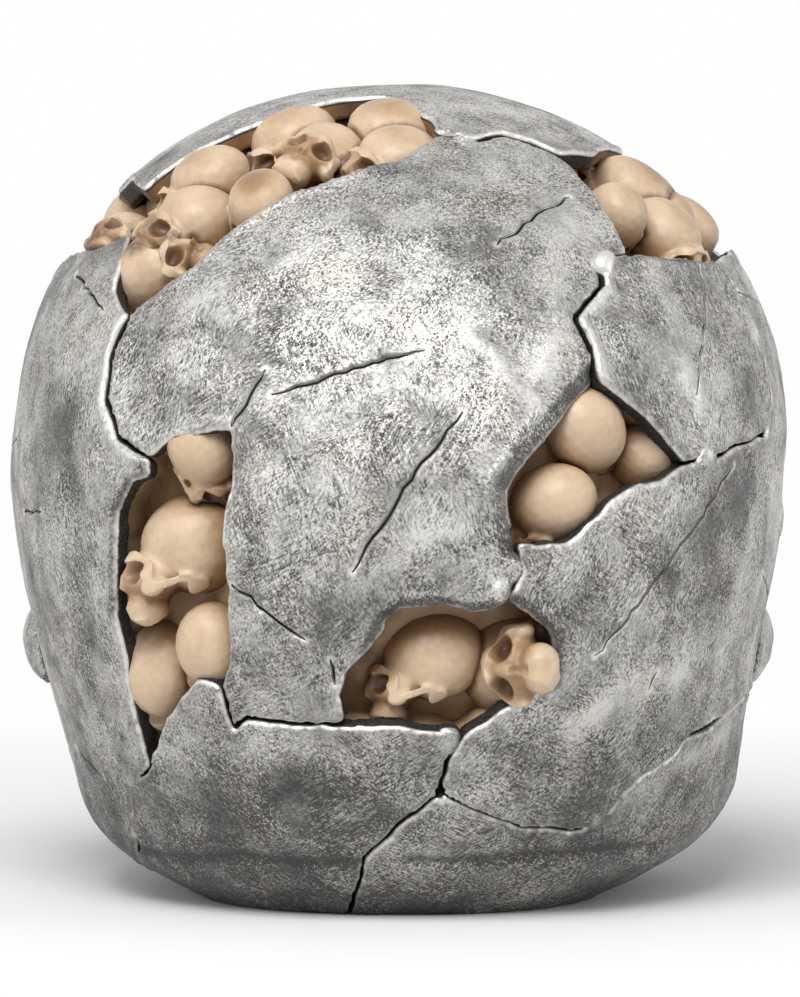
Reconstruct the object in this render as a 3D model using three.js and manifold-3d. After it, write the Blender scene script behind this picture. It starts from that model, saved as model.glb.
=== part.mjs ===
// A cast-resin skull ornament. An ivory core carries small ivory skulls in hollows, and a cracked skin of
// silver plates lies over the core, broken away where the small skulls show. The skull has no lower jaw.
// Millimetres, +Z up. The face looks along +Y, so the back of the head is seen by looking along +Y from -Y.

import * as THREE from "three";
import { mergeVertices } from "three/addons/utils/BufferGeometryUtils.js";
import Module from "manifold-3d";

const wasm = await Module();
wasm.setup();

// Overall sizes of the skull
const breadth = 142;
const height = 146;
const backLength = 91;
const faceLength = 86;
const centreHeight = 0.4795 * height;

// Skin of plates and the hollows behind its openings
const plateThickness = 4;
const clearance = 0.3;
const crackWidth = 0.9;
const crackOverrun = 1.6;
const finestDetail = 0.15;
const hollowDepth = 7.5;
const hollowUndercut = 3;
const footHeight = 0.5;

// Small skulls
const smallSkullLength = 0.19 * breadth;
const smallSkullGap = 0.35;

// Felt under the foot
const feltThickness = 1;
const feltBreadth = 0.38 * breadth;
const feltLength = 0.42 * (backLength + faceLength);
const feltSetback = 0.1 * backLength;

// Eye sockets, nose and cheek arches
const socketBreadth = 0.275 * breadth;
const socketHeight = 0.233 * height;
const socketDepth = 0.384 * faceLength;
const socketSpacing = 0.437 * breadth;
const socketLevel = 0.4315 * height;
const socketWall = 2;
const noseBreadth = 0.176 * breadth;
const noseHeight = 0.219 * height;
const noseLevel = 0.2055 * height;
const noseDepth = 0.209 * faceLength;
const noseWall = 2;
const septumThickness = 1.6;
const archThickness = 6;
const archHeight = 0.09 * height;

// Upper teeth
const toothHeight = 0.137 * height;
const toothDepth = 0.099 * faceLength;
const toothRowBreadth = 0.4015 * breadth;
const toothRowLength = 0.5 * faceLength;
const toothRowFront = 0.965 * faceLength;
const toothOverlap = 0.5;
const toothInset = 0.5;

const halfBreadth = breadth / 2;
const centre = new THREE.Vector3(0, 0, centreHeight);
const farAway = breadth + height + backLength + faceLength;

// Half outlines of the braincase as shares: outwards of the reach on that side, upwards of the height.
const leftOutlineShares = [
  [0, 1], [0.22, 0.992], [0.4, 0.968], [0.53, 0.937], [0.635, 0.905], [0.715, 0.871], [0.785, 0.833],
  [0.85, 0.79], [0.91, 0.742], [0.955, 0.68], [0.98, 0.61], [0.997, 0.55], [1, 0.5], [0.988, 0.44],
  [0.97, 0.39], [0.94, 0.33], [0.905, 0.26], [0.875, 0.205], [0.847, 0.16], [0.822, 0.115], [0.772, 0.073],
  [0.65, 0.033], [0.52, 0], [0.3, -0.045], [0, -0.06],
];
const rightOutlineShares = [
  [0, 1], [0.2, 0.99], [0.37, 0.966], [0.505, 0.937], [0.605, 0.904], [0.685, 0.874], [0.765, 0.842],
  [0.83, 0.81], [0.88, 0.779], [0.93, 0.734], [0.968, 0.685], [0.993, 0.625], [1, 0.57], [0.992, 0.51],
  [0.98, 0.44], [0.952, 0.37], [0.92, 0.29], [0.893, 0.22], [0.88, 0.165], [0.857, 0.115], [0.795, 0.072],
  [0.66, 0.035], [0.51, 0], [0.3, -0.045], [0, -0.06],
];
const backOutlineShares = [
  [0, 1], [0.28, 0.988], [0.54, 0.935], [0.76, 0.84], [0.91, 0.715], [0.985, 0.59], [1, 0.49],
  [0.985, 0.39], [0.945, 0.295], [0.885, 0.205], [0.81, 0.125], [0.71, 0.055], [0.58, -0.005],
  [0.3, -0.05], [0, -0.06],
];
const faceOutlineShares = [
  [0, 1], [0.31, 0.99], [0.58, 0.94], [0.8, 0.855], [0.93, 0.735], [0.975, 0.645], [0.96, 0.56],
  [0.9, 0.47], [0.8, 0.37], [0.68, 0.27], [0.58, 0.18], [0.5, 0.1], [0.42, 0.01],
  [0.22, -0.05], [0, -0.06],
];
const backRoundness = 2.25;
const faceRoundness = 2.1;

// Radius from the centre against elevation angle, along one half outline.
function polarOutline(outlineShares, reach) {
  return outlineShares
    .map(([outward, upward]) => {
      const across = outward * reach;
      const rise = upward * height - centreHeight;
      return [Math.atan2(rise, across), Math.hypot(across, rise)];
    })
    .sort((a, b) => a[0] - b[0]);
}

function radiusAt(outline, angle) {
  const last = outline.length - 1;
  let i = 0;
  while (i < last - 1 && outline[i + 1][0] < angle) i += 1;
  const [a0, r0] = outline[i];
  const [a1, r1] = outline[i + 1];
  const before = outline[Math.max(i - 1, 0)];
  const after = outline[Math.min(i + 2, last)];
  const span = a1 - a0;
  const t = Math.min(Math.max((angle - a0) / span, 0), 1);
  const slope0 = i > 0 ? ((r1 - before[1]) / (a1 - before[0])) * span : 0;
  const slope1 = i < last - 1 ? ((after[1] - r0) / (after[0] - a0)) * span : 0;
  const t2 = t * t;
  const t3 = t2 * t;
  return r0 * (2 * t3 - 3 * t2 + 1) + slope0 * (t3 - 2 * t2 + t) + r1 * (3 * t2 - 2 * t3) + slope1 * (t3 - t2);
}

const leftOutline = polarOutline(leftOutlineShares, halfBreadth);
const rightOutline = polarOutline(rightOutlineShares, halfBreadth);
const backOutline = polarOutline(backOutlineShares, backLength);
const faceOutline = polarOutline(faceOutlineShares, faceLength);

function braincaseRadius(direction) {
  const level = Math.hypot(direction.x, direction.y);
  const angle = Math.atan2(direction.z, level);
  const sideRadius = radiusAt(direction.x > 0 ? rightOutline : leftOutline, angle);
  if (level < 1e-6) return sideRadius;
  const toFace = direction.y > 0;
  const endRadius = radiusAt(toFace ? faceOutline : backOutline, angle);
  const power = 2 + ((toFace ? faceRoundness : backRoundness) - 2) * level * level;
  const sum =
    Math.pow(Math.abs(direction.x) / level / sideRadius, power) +
    Math.pow(Math.abs(direction.y) / level / endRadius, power);
  return Math.pow(sum, -1 / power);
}

// Rounded lumps of the face, as shares: place and radii [of half breadth, of face reach, of height].
// Each one is mirrored across the middle of the face.
const faceLumpShares = [
  { place: [0, 0.68, 0.25], radii: [0.46, 0.34, 0.15] },
  { place: [0, 0.6, 0.115], radii: [0.44, 0.385, 0.05] },
  { place: [0.6, 0.68, 0.32], radii: [0.22, 0.17, 0.08] },
  { place: [0.32, 0.87, 0.585], radii: [0.36, 0.12, 0.055] },
  { place: [0.66, 0.7, 0.5], radii: [0.13, 0.13, 0.12] },
  { place: [0, 0.91, 0.47], radii: [0.14, 0.11, 0.12] },
  { place: [0.14, 0.84, 0.375], radii: [0.13, 0.13, 0.1] },
];
const faceHollowShares = [
  { place: [0.98, 0.5, 0.46], radii: [0.22, 0.28, 0.16] },
  { place: [0.92, 0.44, 0.15], radii: [0.26, 0.3, 0.12] },
  { place: [0, 0.62, 0.05], radii: [0.26, 0.26, 0.06] },
];
const lumpBlendShare = 0.05;
const hollowBlendShare = 0.07;

function inSizes([across, forward, upward]) {
  return new THREE.Vector3(across * halfBreadth, forward * faceLength, upward * height);
}

function mirrored(entries) {
  return entries.flatMap(({ place, radii }) => {
    const sides = place[0] === 0 ? [1] : [1, -1];
    return sides.map((side) => ({
      place: inSizes([place[0] * side, place[1], place[2]]),
      radii: inSizes(radii),
    }));
  });
}

const faceLumps = mirrored(faceLumpShares);
const faceHollows = mirrored(faceHollowShares);

function ellipsoidDistance(point, { place, radii }) {
  const offset = point.clone().sub(place);
  const k = offset.clone().divide(radii).length();
  const k2 = offset.clone().divide(radii).divide(radii).length();
  return k2 === 0 ? -Math.min(radii.x, radii.y, radii.z) : (k * (k - 1)) / k2;
}

function blendedLeast(a, b, width) {
  const h = Math.max(width - Math.abs(a - b), 0) / width;
  return Math.min(a, b) - (h * h * width) / 4;
}

function surfaceDistance(point) {
  const offset = point.clone().sub(centre);
  const far = offset.length();
  let distance = far - braincaseRadius(offset.divideScalar(far));
  for (const lump of faceLumps) {
    distance = blendedLeast(distance, ellipsoidDistance(point, lump), lumpBlendShare * height);
  }
  for (const hollow of faceHollows) {
    distance = -blendedLeast(-distance, ellipsoidDistance(point, hollow), hollowBlendShare * height);
  }
  return distance;
}

// Distance from the centre to the outside of the skull, searched inwards along a direction.
const searchSteps = 40;
const halvings = 14;
const radiusCache = new Map();

function skullRadius(direction) {
  const key = [direction.x, direction.y, direction.z].map((v) => v.toFixed(5)).join();
  if (radiusCache.has(key)) return radiusCache.get(key);
  const at = (radius) => surfaceDistance(direction.clone().multiplyScalar(radius).add(centre));
  const start = 1.5 * Math.max(backLength, faceLength, height - centreHeight, halfBreadth);
  let outside = start;
  let inside = start;
  for (let i = 1; i < searchSteps; i += 1) {
    inside = start * (1 - i / searchSteps);
    if (at(inside) < 0) break;
    outside = inside;
  }
  for (let i = 0; i < halvings; i += 1) {
    const middle = (inside + outside) / 2;
    if (at(middle) < 0) inside = middle;
    else outside = middle;
  }
  radiusCache.set(key, inside);
  return inside;
}

// Solids from closed geometries, and back again
function solidOf(geometry) {
  const bare = geometry.clone();
  bare.deleteAttribute("normal");
  bare.deleteAttribute("uv");
  const merged = mergeVertices(bare, 1e-4);
  return new wasm.Manifold(
    new wasm.Mesh({
      numProp: 3,
      vertProperties: new Float32Array(merged.attributes.position.array),
      triVerts: new Uint32Array(merged.index.array),
    }),
  );
}

function geometryOf(solid) {
  const mesh = solid.getMesh();
  const positions = new Float32Array(mesh.numVert * 3);
  for (let i = 0; i < mesh.numVert; i += 1) {
    positions.set(mesh.vertProperties.subarray(i * mesh.numProp, i * mesh.numProp + 3), i * 3);
  }
  const geometry = new THREE.BufferGeometry();
  geometry.setAttribute("position", new THREE.BufferAttribute(positions, 3));
  geometry.setIndex(new THREE.BufferAttribute(mesh.triVerts, 1));
  geometry.computeVertexNormals();
  return geometry;
}

function largestPiece(solid) {
  const pieces = solid.decompose();
  return pieces.reduce((a, b) => (a.volume() > b.volume() ? a : b));
}

// A closed ball of triangles whose radius in each direction comes from a function.
function starGeometry(radiusOf, detail) {
  const geometry = new THREE.IcosahedronGeometry(1, detail);
  geometry.deleteAttribute("normal");
  geometry.deleteAttribute("uv");
  const ball = mergeVertices(geometry, 1e-5);
  const position = ball.attributes.position;
  const direction = new THREE.Vector3();
  for (let i = 0; i < position.count; i += 1) {
    direction.fromBufferAttribute(position, i).normalize();
    const radius = radiusOf(direction);
    position.setXYZ(i, direction.x * radius, direction.y * radius, direction.z * radius);
  }
  return ball;
}

const skinDetail = 9;
const innerDetail = 7;
const floorDetail = 4;

function skullBody(offset, detail) {
  const geometry = starGeometry((direction) => skullRadius(direction) + offset, detail);
  geometry.translate(centre.x, centre.y, centre.z);
  return solidOf(geometry);
}

function boxSolid(sizeX, sizeY, sizeZ, x, y, z) {
  return solidOf(new THREE.BoxGeometry(sizeX, sizeY, sizeZ).translate(x, y, z));
}

// Drawing views: outlines are drawn as seen from a far eye, as shares of the sizes, and land on the skull.
const eyeDistance = 1200;
const backEyeRise = 63;
const reachAlong = (forward) => forward * (forward > 0 ? faceLength : backLength);
const views = {
  back: {
    reach: backLength,
    eye: new THREE.Vector3(0, -eyeDistance, centreHeight + backEyeRise),
    place: (across, upward) => new THREE.Vector3(across * halfBreadth, 0, upward * height),
  },
  front: {
    reach: faceLength,
    eye: new THREE.Vector3(0, eyeDistance, centreHeight),
    place: (across, upward) => new THREE.Vector3(across * halfBreadth, 0, upward * height),
  },
  left: {
    reach: halfBreadth,
    eye: new THREE.Vector3(-eyeDistance, 0, centreHeight),
    place: (forward, upward) => new THREE.Vector3(0, reachAlong(forward), upward * height),
  },
  right: {
    reach: halfBreadth,
    eye: new THREE.Vector3(eyeDistance, 0, centreHeight),
    place: (forward, upward) => new THREE.Vector3(0, reachAlong(forward), upward * height),
  },
  under: {
    eye: new THREE.Vector3(0, 0, -eyeDistance),
    place: (across, forward) => new THREE.Vector3(across * halfBreadth, reachAlong(forward), 0),
  },
};
const marchSteps = 60;

// Direction from the skull's centre to the point of the surface that the eye sees at a place of a view.
function seenFrom(viewName, across, upward) {
  const view = views[viewName];
  const target = view.place(across, upward);
  const ray = target.clone().sub(view.eye).normalize();
  const nearest = ray.dot(centre.clone().sub(view.eye));
  const span = 1.4 * Math.max(backLength, faceLength, height, halfBreadth);
  const pointAt = (along) => view.eye.clone().addScaledVector(ray, along);
  let outside = nearest - span;
  let hit = false;
  for (let i = 1; i <= marchSteps && !hit; i += 1) {
    const along = nearest - span * (1 - i / marchSteps);
    hit = surfaceDistance(pointAt(along)) < 0;
    if (!hit) outside = along;
  }
  if (!hit) return pointAt(nearest).sub(centre).normalize();
  let inside = outside + span / marchSteps;
  for (let i = 0; i < halvings; i += 1) {
    const middle = (inside + outside) / 2;
    if (surfaceDistance(pointAt(middle)) < 0) inside = middle;
    else outside = middle;
  }
  return pointAt(inside).sub(centre).normalize();
}

// An outline is a list of runs, each [view, [across, upward], [across, upward], ...].
function directionsOf(runs) {
  return runs.flatMap(([viewName, ...points]) => points.map(([across, upward]) => seenFrom(viewName, across, upward)));
}

function flattened(directions) {
  const middle = directions.reduce((sum, d) => sum.add(d), new THREE.Vector3()).normalize();
  const spin = new THREE.Quaternion().setFromUnitVectors(middle, new THREE.Vector3(0, 0, 1));
  const flat = directions.map((d) => {
    const turned = d.clone().applyQuaternion(spin);
    return new THREE.Vector2(turned.x / turned.z, turned.y / turned.z);
  });
  const unflatten = (p) => new THREE.Vector3(p.x, p.y, 1).normalize().applyQuaternion(spin.clone().invert());
  return { flat, unflatten };
}

// A solid between two distances from the centre, whose sides run through an outline of directions.
function coneThrough(directions, near, far) {
  let { flat } = flattened(directions);
  let ring = directions;
  if (THREE.ShapeUtils.isClockWise(flat)) {
    ring = [...directions].reverse();
    flat = [...flat].reverse();
  }
  const count = ring.length;
  const points = [near, far].flatMap((radius) => ring.map((d) => d.clone().multiplyScalar(radius).add(centre)));
  const index = [];
  for (const [a, b, c] of THREE.ShapeUtils.triangulateShape(flat, [])) {
    index.push(c, b, a, a + count, b + count, c + count);
  }
  for (let i = 0; i < count; i += 1) {
    const next = (i + 1) % count;
    index.push(i, next, next + count, i, next + count, i + count);
  }
  const geometry = new THREE.BufferGeometry().setFromPoints(points);
  geometry.setIndex(index);
  return solidOf(geometry);
}

const nearShare = 0.25;
const coneNear = nearShare * halfBreadth;
const coneFar = 2 * backLength;

// The outline moved outwards all round by a distance on the surface (inwards if negative).
const longestMitre = 1.6;

function widened(directions, distance) {
  const { flat, unflatten } = flattened(directions);
  const turning = THREE.ShapeUtils.isClockWise(flat) ? -1 : 1;
  const count = flat.length;
  const outwards = flat.map((p, i) => {
    const edge = flat[(i + 1) % count].clone().sub(p).normalize();
    return new THREE.Vector2(edge.y, -edge.x).multiplyScalar(turning);
  });
  return flat.map((p, i) => {
    const before = outwards[(i + count - 1) % count];
    const mitre = before.clone().add(outwards[i]).normalize();
    const stretch = Math.min(1 / Math.max(mitre.dot(before), 1 / longestMitre), longestMitre);
    return unflatten(p.clone().addScaledVector(mitre, (distance * stretch) / halfBreadth));
  });
}

// A blade that cuts a crack of even width along a path of directions and runs a little past both ends.
function crackBlade(directions, width) {
  const { flat, unflatten } = flattened(directions);
  const half = width / 2 / halfBreadth;
  const last = flat.length - 1;
  const overrun = crackOverrun / halfBreadth;
  flat[0].addScaledVector(flat[0].clone().sub(flat[1]).normalize(), overrun);
  flat[last].addScaledVector(flat[last].clone().sub(flat[last - 1]).normalize(), overrun);
  const strips = flat.slice(1).map((end, i) => {
    const along = end.clone().sub(flat[i]).setLength(half);
    const side = new THREE.Vector2(-along.y, along.x);
    const corners = [
      flat[i].clone().sub(along).add(side),
      end.clone().add(along).add(side),
      end.clone().add(along).sub(side),
      flat[i].clone().sub(along).sub(side),
    ];
    return coneThrough(corners.map(unflatten), coneNear, coneFar);
  });
  return wasm.Manifold.union(strips);
}

// Openings broken through the plates
const openingShares = {
  crown_left: [
    ["back", [-0.707, 0.708], [-0.62, 0.746], [-0.532, 0.778], [-0.445, 0.816], [-0.352, 0.85],
      [-0.177, 0.883], [0.004, 0.912], [0.115, 0.941], [0.055, 0.966], [-0.035, 0.985],
      [-0.151, 0.982], [-0.28, 0.966], [-0.429, 0.939], [-0.563, 0.906], [-0.65, 0.872]],
    ["left", [-0.08, 0.9], [0.1, 0.88], [0.3, 0.865], [0.36, 0.83], [0.3, 0.805], [0.1, 0.79], [0.021, 0.775]],
    ["back", [-0.782, 0.796], [-0.702, 0.811], [-0.723, 0.778], [-0.738, 0.741]],
  ],
  crown_right: [
    ["back", [0.406, 0.915], [0.494, 0.914], [0.545, 0.922]],
    ["right", [-0.1, 0.93], [0.15, 0.93], [0.34, 0.89], [0.38, 0.84], [0.25, 0.8], [0.06, 0.805]],
    ["back", [0.818, 0.778], [0.726, 0.783], [0.591, 0.788], [0.566, 0.821], [0.519, 0.856], [0.46, 0.891]],
  ],
  nape_left: [
    ["back", [-0.439, 0.571], [-0.501, 0.57], [-0.589, 0.559], [-0.664, 0.536], [-0.664, 0.515],
      [-0.702, 0.499], [-0.731, 0.465], [-0.741, 0.405], [-0.736, 0.342], [-0.715, 0.286],
      [-0.689, 0.219], [-0.651, 0.144], [-0.62, 0.164], [-0.602, 0.202], [-0.568, 0.224],
      [-0.522, 0.249], [-0.491, 0.246], [-0.465, 0.236], [-0.442, 0.273], [-0.437, 0.323],
      [-0.439, 0.373], [-0.455, 0.424], [-0.455, 0.465], [-0.437, 0.505], [-0.432, 0.543]],
  ],
  nape_right: [
    ["back", [0.514, 0.634], [0.576, 0.613], [0.638, 0.583], [0.695, 0.555], [0.741, 0.528],
      [0.679, 0.505], [0.602, 0.492], [0.535, 0.472], [0.494, 0.445], [0.437, 0.424],
      [0.365, 0.419], [0.298, 0.422], [0.285, 0.457], [0.282, 0.49], [0.334, 0.528],
      [0.406, 0.574], [0.468, 0.609]],
  ],
  nape_middle: [
    ["back", [0.282, 0.357], [0.339, 0.338], [0.403, 0.307], [0.401, 0.252], [0.274, 0.214],
      [0.159, 0.177], [0.107, 0.185], [0.004, 0.194], [-0.151, 0.195], [-0.159, 0.229],
      [-0.14, 0.261], [-0.079, 0.289], [-0.037, 0.327], [0.009, 0.343], [0.107, 0.346],
      [0.184, 0.338], [0.241, 0.342]],
  ],
  forehead_left: [
    ["front", [-0.46, 0.79], [-0.38, 0.84], [-0.3, 0.86], [-0.18, 0.845], [-0.08, 0.85],
      [0.05, 0.775], [-0.01, 0.73], [-0.03, 0.7], [-0.12, 0.69], [-0.2, 0.665], [-0.38, 0.71]],
  ],
  forehead_right: [
    ["front", [0.28, 0.85], [0.4, 0.885], [0.52, 0.86], [0.64, 0.785], [0.58, 0.735],
      [0.5, 0.74], [0.42, 0.72], [0.36, 0.78]],
  ],
  temple_left: [
    ["left", [0.127, 0.72], [0.212, 0.755], [0.296, 0.76], [0.402, 0.7], [0.497, 0.6], [0.444, 0.54],
      [0.317, 0.515], [0.233, 0.55], [0.18, 0.62]],
  ],
  temple_right: [
    ["right", [0.106, 0.58], [0.18, 0.62], [0.254, 0.7], [0.36, 0.69], [0.444, 0.67], [0.55, 0.6],
      [0.476, 0.53], [0.381, 0.52], [0.296, 0.48], [0.148, 0.5]],
  ],
};

// Cracks that part one plate from the next, from opening to opening
const crackShares = [
  [["back", [-0.707, 0.708], [-0.744, 0.665], [-0.759, 0.605], [-0.728, 0.56], [-0.664, 0.536]]],
  [["back", [0.115, 0.941], [0.184, 0.93], [0.262, 0.939], [0.339, 0.929], [0.406, 0.915]]],
  [["back", [0.591, 0.788], [0.527, 0.786], [0.53, 0.751], [0.457, 0.708], [0.499, 0.668], [0.514, 0.634]]],
  [["back", [0.741, 0.528], [0.798, 0.533], [0.867, 0.545], [0.947, 0.564]]],
  [["back", [0.818, 0.778], [0.885, 0.736], [0.932, 0.674], [0.963, 0.612], [0.947, 0.564]]],
  [["back", [0.947, 0.564], [0.97, 0.505]], ["right", [-0.06, 0.44], [0.063, 0.46], [0.148, 0.5]]],
  [["back", [0.298, 0.422], [0.316, 0.39], [0.282, 0.357]]],
  [["back", [-0.151, 0.195], [-0.28, 0.197], [-0.396, 0.202], [-0.434, 0.19], [-0.465, 0.236]]],
  [["back", [-0.651, 0.144], [-0.689, 0.123], [-0.689, 0.079], [-0.677, 0.041], [-0.64, 0.004]],
    ["under", [-0.5, -0.28], [-0.32, -0.26]]],
  [["back", [0.159, 0.177], [0.122, 0.152], [0.11, 0.11]]],
  [["back", [0.11, 0.11], [0.004, 0.069], [-0.086, 0.026]], ["under", [-0.125, -0.57], [-0.13, -0.42]]],
  [["back", [0.11, 0.11], [0.21, 0.085], [0.339, 0.068], [0.481, 0.064], [0.519, 0.075]]],
  [["back", [0.519, 0.075], [0.622, 0.127], [0.751, 0.183], [0.883, 0.227]],
    ["right", [-0.06, 0.235], [0.085, 0.25], [0.254, 0.24]]],
  [["left", [0.2, 0.797], [0.212, 0.755]]],
  [["left", [0.317, 0.515], [0.233, 0.42], [0.254, 0.33], [0.169, 0.22], [0.212, 0.12], [0.106, 0.05]],
    ["under", [-0.5, 0.106], [-0.32, 0.106]]],
  [["left", [0.36, 0.83]], ["front", [-0.5, 0.83], [-0.46, 0.79]]],
  [["front", [-0.08, 0.85], [0.06, 0.875], [0.18, 0.84], [0.28, 0.85]]],
  [["front", [0.52, 0.86]], ["right", [0.45, 0.86], [0.38, 0.84]]],
  [["front", [0.64, 0.785]], ["right", [0.423, 0.74], [0.254, 0.7]]],
  [["left", [0.497, 0.6]], ["front", [-0.62, 0.63], [-0.4, 0.67], [-0.15, 0.63], [0.02, 0.65]]],
  [["front", [0.02, 0.65], [0.2, 0.63], [0.45, 0.66], [0.62, 0.63]], ["right", [0.55, 0.6]]],
  [["front", [0.02, 0.65], [-0.01, 0.59], [0.02, 0.545]]],
  [["front", [-0.22, 0.51], [-0.1, 0.535], [0.02, 0.545], [0.1, 0.535], [0.22, 0.51]]],
  [["front", [-0.06, 0.37], [-0.15, 0.365], [-0.26, 0.375]]],
  [["front", [0.06, 0.37], [0.15, 0.36], [0.26, 0.375]]],
  [["front", [-0.62, 0.38]], ["left", [0.656, 0.36], [0.508, 0.34], [0.381, 0.36], [0.254, 0.33]]],
  [["front", [0.62, 0.38]], ["right", [0.656, 0.35], [0.487, 0.36], [0.36, 0.34], [0.275, 0.3]]],
  [["left", [0.444, 0.54], [0.529, 0.46], [0.593, 0.4], [0.582, 0.35]]],
  [["right", [0.476, 0.53], [0.55, 0.46], [0.614, 0.4], [0.582, 0.355]]],
  [["right", [0.296, 0.48], [0.254, 0.4], [0.275, 0.3], [0.254, 0.24], [0.19, 0.16], [0.106, 0.05]],
    ["under", [0.5, 0.106], [0.32, 0.106]]],
  [["front", [0, 0.23], [0.03, 0.17], [-0.01, 0.12]], ["under", [0, 0.889]]],
  [["under", [-0.34, 0.44], [-0.25, 0.375], [-0.1, 0.36], [0, 0.37], [0.12, 0.36], [0.25, 0.38], [0.34, 0.44]]],
  [["under", [0, 0.37], [0.03, 0.28], [0, 0.16]]],
];

const silver = new THREE.MeshStandardMaterial({ color: 0xa9a9a6, roughness: 0.42, metalness: 0.75 });
const darkSilver = new THREE.MeshStandardMaterial({ color: 0x5d5d5b, roughness: 0.55, metalness: 0.6 });
const ivory = new THREE.MeshStandardMaterial({ color: 0xd9bd97, roughness: 0.45, metalness: 0 });
const fillIvory = new THREE.MeshStandardMaterial({ color: 0x9a744f, roughness: 0.5, metalness: 0 });
const toothSilver = new THREE.MeshStandardMaterial({ color: 0xb9b7b0, roughness: 0.4, metalness: 0.6 });
const feltBlack = new THREE.MeshStandardMaterial({ color: 0x1d1d1f, roughness: 1, metalness: 0 });

const group = new THREE.Group();

function addPiece(name, solid, material) {
  const mesh = new THREE.Mesh(geometryOf(largestPiece(solid.asOriginal().simplify(finestDetail))), material);
  mesh.name = name;
  group.add(mesh);
}

// Bodies at several depths below the outside
const coreOutside = skullBody(-plateThickness - clearance, innerDetail);
const linerOutside = skullBody(-plateThickness / 2, innerDetail);
const hollowFloor = skullBody(-plateThickness - hollowDepth, floorDetail);
const belowFoot = boxSolid(farAway, farAway, farAway, 0, 0, footHeight - farAway / 2);

// Felt under the foot, let into the plates and the core
const feltCorner = 0.3 * feltBreadth;

function feltShape(growth) {
  const halfWidth = feltBreadth / 2 + growth;
  const halfLength = feltLength / 2 + growth;
  const corner = feltCorner + growth;
  const shape = new THREE.Shape();
  shape.absarc(halfWidth - corner, halfLength - corner, corner, 0, Math.PI / 2);
  shape.absarc(corner - halfWidth, halfLength - corner, corner, Math.PI / 2, Math.PI);
  shape.absarc(corner - halfWidth, corner - halfLength, corner, Math.PI, 1.5 * Math.PI);
  shape.absarc(halfWidth - corner, corner - halfLength, corner, 1.5 * Math.PI, 2 * Math.PI);
  return shape;
}

const cornerSegments = 5;

function feltSolid(growth, bottom, top) {
  const geometry = new THREE.ExtrudeGeometry(feltShape(growth), {
    depth: top - bottom,
    bevelEnabled: false,
    curveSegments: cornerSegments,
  });
  return solidOf(geometry.translate(0, -feltSetback, bottom));
}

const feltSpace = feltSolid(clearance, -height, feltThickness + clearance);

// Eye sockets: egg-shaped bowls that point a little outwards and run on to the front as round throats
const socketTurn = 0.22;
const socketFront = 0.86 * faceLength;
const socketRing = 20;
const bowlRings = 4;

function socketSolid(side, growth) {
  const profile = Array.from({ length: bowlRings + 1 }, (_, i) => {
    const turn = (Math.PI / 2) * (i / bowlRings);
    return new THREE.Vector2(Math.sin(turn), -Math.cos(turn));
  });
  profile[0].x = 0;
  profile.push(new THREE.Vector2(1.05, 1), new THREE.Vector2(0, 1));
  const geometry = new THREE.LatheGeometry(profile, socketRing);
  geometry.scale(socketBreadth / 2 + growth, socketDepth + growth, socketHeight / 2 + growth);
  geometry.rotateZ(-side * socketTurn);
  geometry.translate((side * socketSpacing) / 2, socketFront, socketLevel);
  return solidOf(geometry);
}

// Nose: a pear-shaped opening with a thin wall down its middle
const noseShares = [
  [0, 1], [0.3, 0.94], [0.48, 0.74], [0.66, 0.5], [0.92, 0.26], [0.96, 0.12], [0.72, 0.02], [0.34, 0.01],
  [0, 0.1],
];
const noseFront = 0.98 * faceLength;

function noseSolid(growth, back, front) {
  const right = noseShares.map(([across, upward]) => new THREE.Vector2(across, upward));
  const left = right.slice(1, -1).reverse().map((p) => new THREE.Vector2(-p.x, p.y));
  const points = [...right, ...left].map(
    (p) => new THREE.Vector2(p.x * (noseBreadth / 2 + growth), (p.y - 0.5) * (noseHeight + 2 * growth)),
  );
  const geometry = new THREE.ExtrudeGeometry(new THREE.Shape(points), { depth: front - back, bevelEnabled: false });
  geometry.rotateX(Math.PI / 2);
  return solidOf(geometry.translate(0, front, noseLevel + noseHeight / 2));
}

const noseBack = noseFront - noseDepth;
const sides = { left: -1, right: 1 };
const socketSpace = Object.values(sides).map((side) => socketSolid(side, clearance));
const noseSpace = noseSolid(clearance, noseBack - clearance, farAway);

// The tooth row lies along half an ellipse, open to the back.
const rowSegments = 18;
const rowBack = toothRowFront - toothRowLength;

function rowPoint(turn, sideways) {
  const outward = new THREE.Vector2(Math.sin(turn) / toothRowBreadth, Math.cos(turn) / (2 * toothRowLength));
  const halfRow = (toothRowBreadth - toothDepth) / 2;
  const point = new THREE.Vector2(halfRow * Math.sin(turn), rowBack + (toothRowLength - toothDepth / 2) * Math.cos(turn));
  return point.addScaledVector(outward.normalize(), sideways);
}

function rowBand(halfWidth, bottom, top, overrun) {
  const turns = Array.from({ length: rowSegments + 1 }, (_, i) => (Math.PI / 2) * ((2 * i) / rowSegments - 1));
  const outside = turns.map((turn) => rowPoint(turn, halfWidth));
  const inside = turns.map((turn) => rowPoint(turn, -halfWidth)).reverse();
  const back = new THREE.Vector2(0, -overrun);
  const ends = [outside.at(-1).clone().add(back), inside[0].clone().add(back)];
  const starts = [inside.at(-1).clone().add(back), outside[0].clone().add(back)];
  const shape = new THREE.Shape([...outside, ...ends, ...inside, ...starts]);
  const geometry = new THREE.ExtrudeGeometry(shape, { depth: top - bottom, bevelEnabled: false });
  return solidOf(geometry.translate(0, 0, bottom));
}

const toothBottom = feltThickness;
const toothTop = toothBottom + toothHeight;
const rowEnd = toothDepth / 2;
const toothSpace = rowBand(toothDepth / 2 + clearance, -height, toothTop + clearance, rowEnd + clearance);

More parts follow.
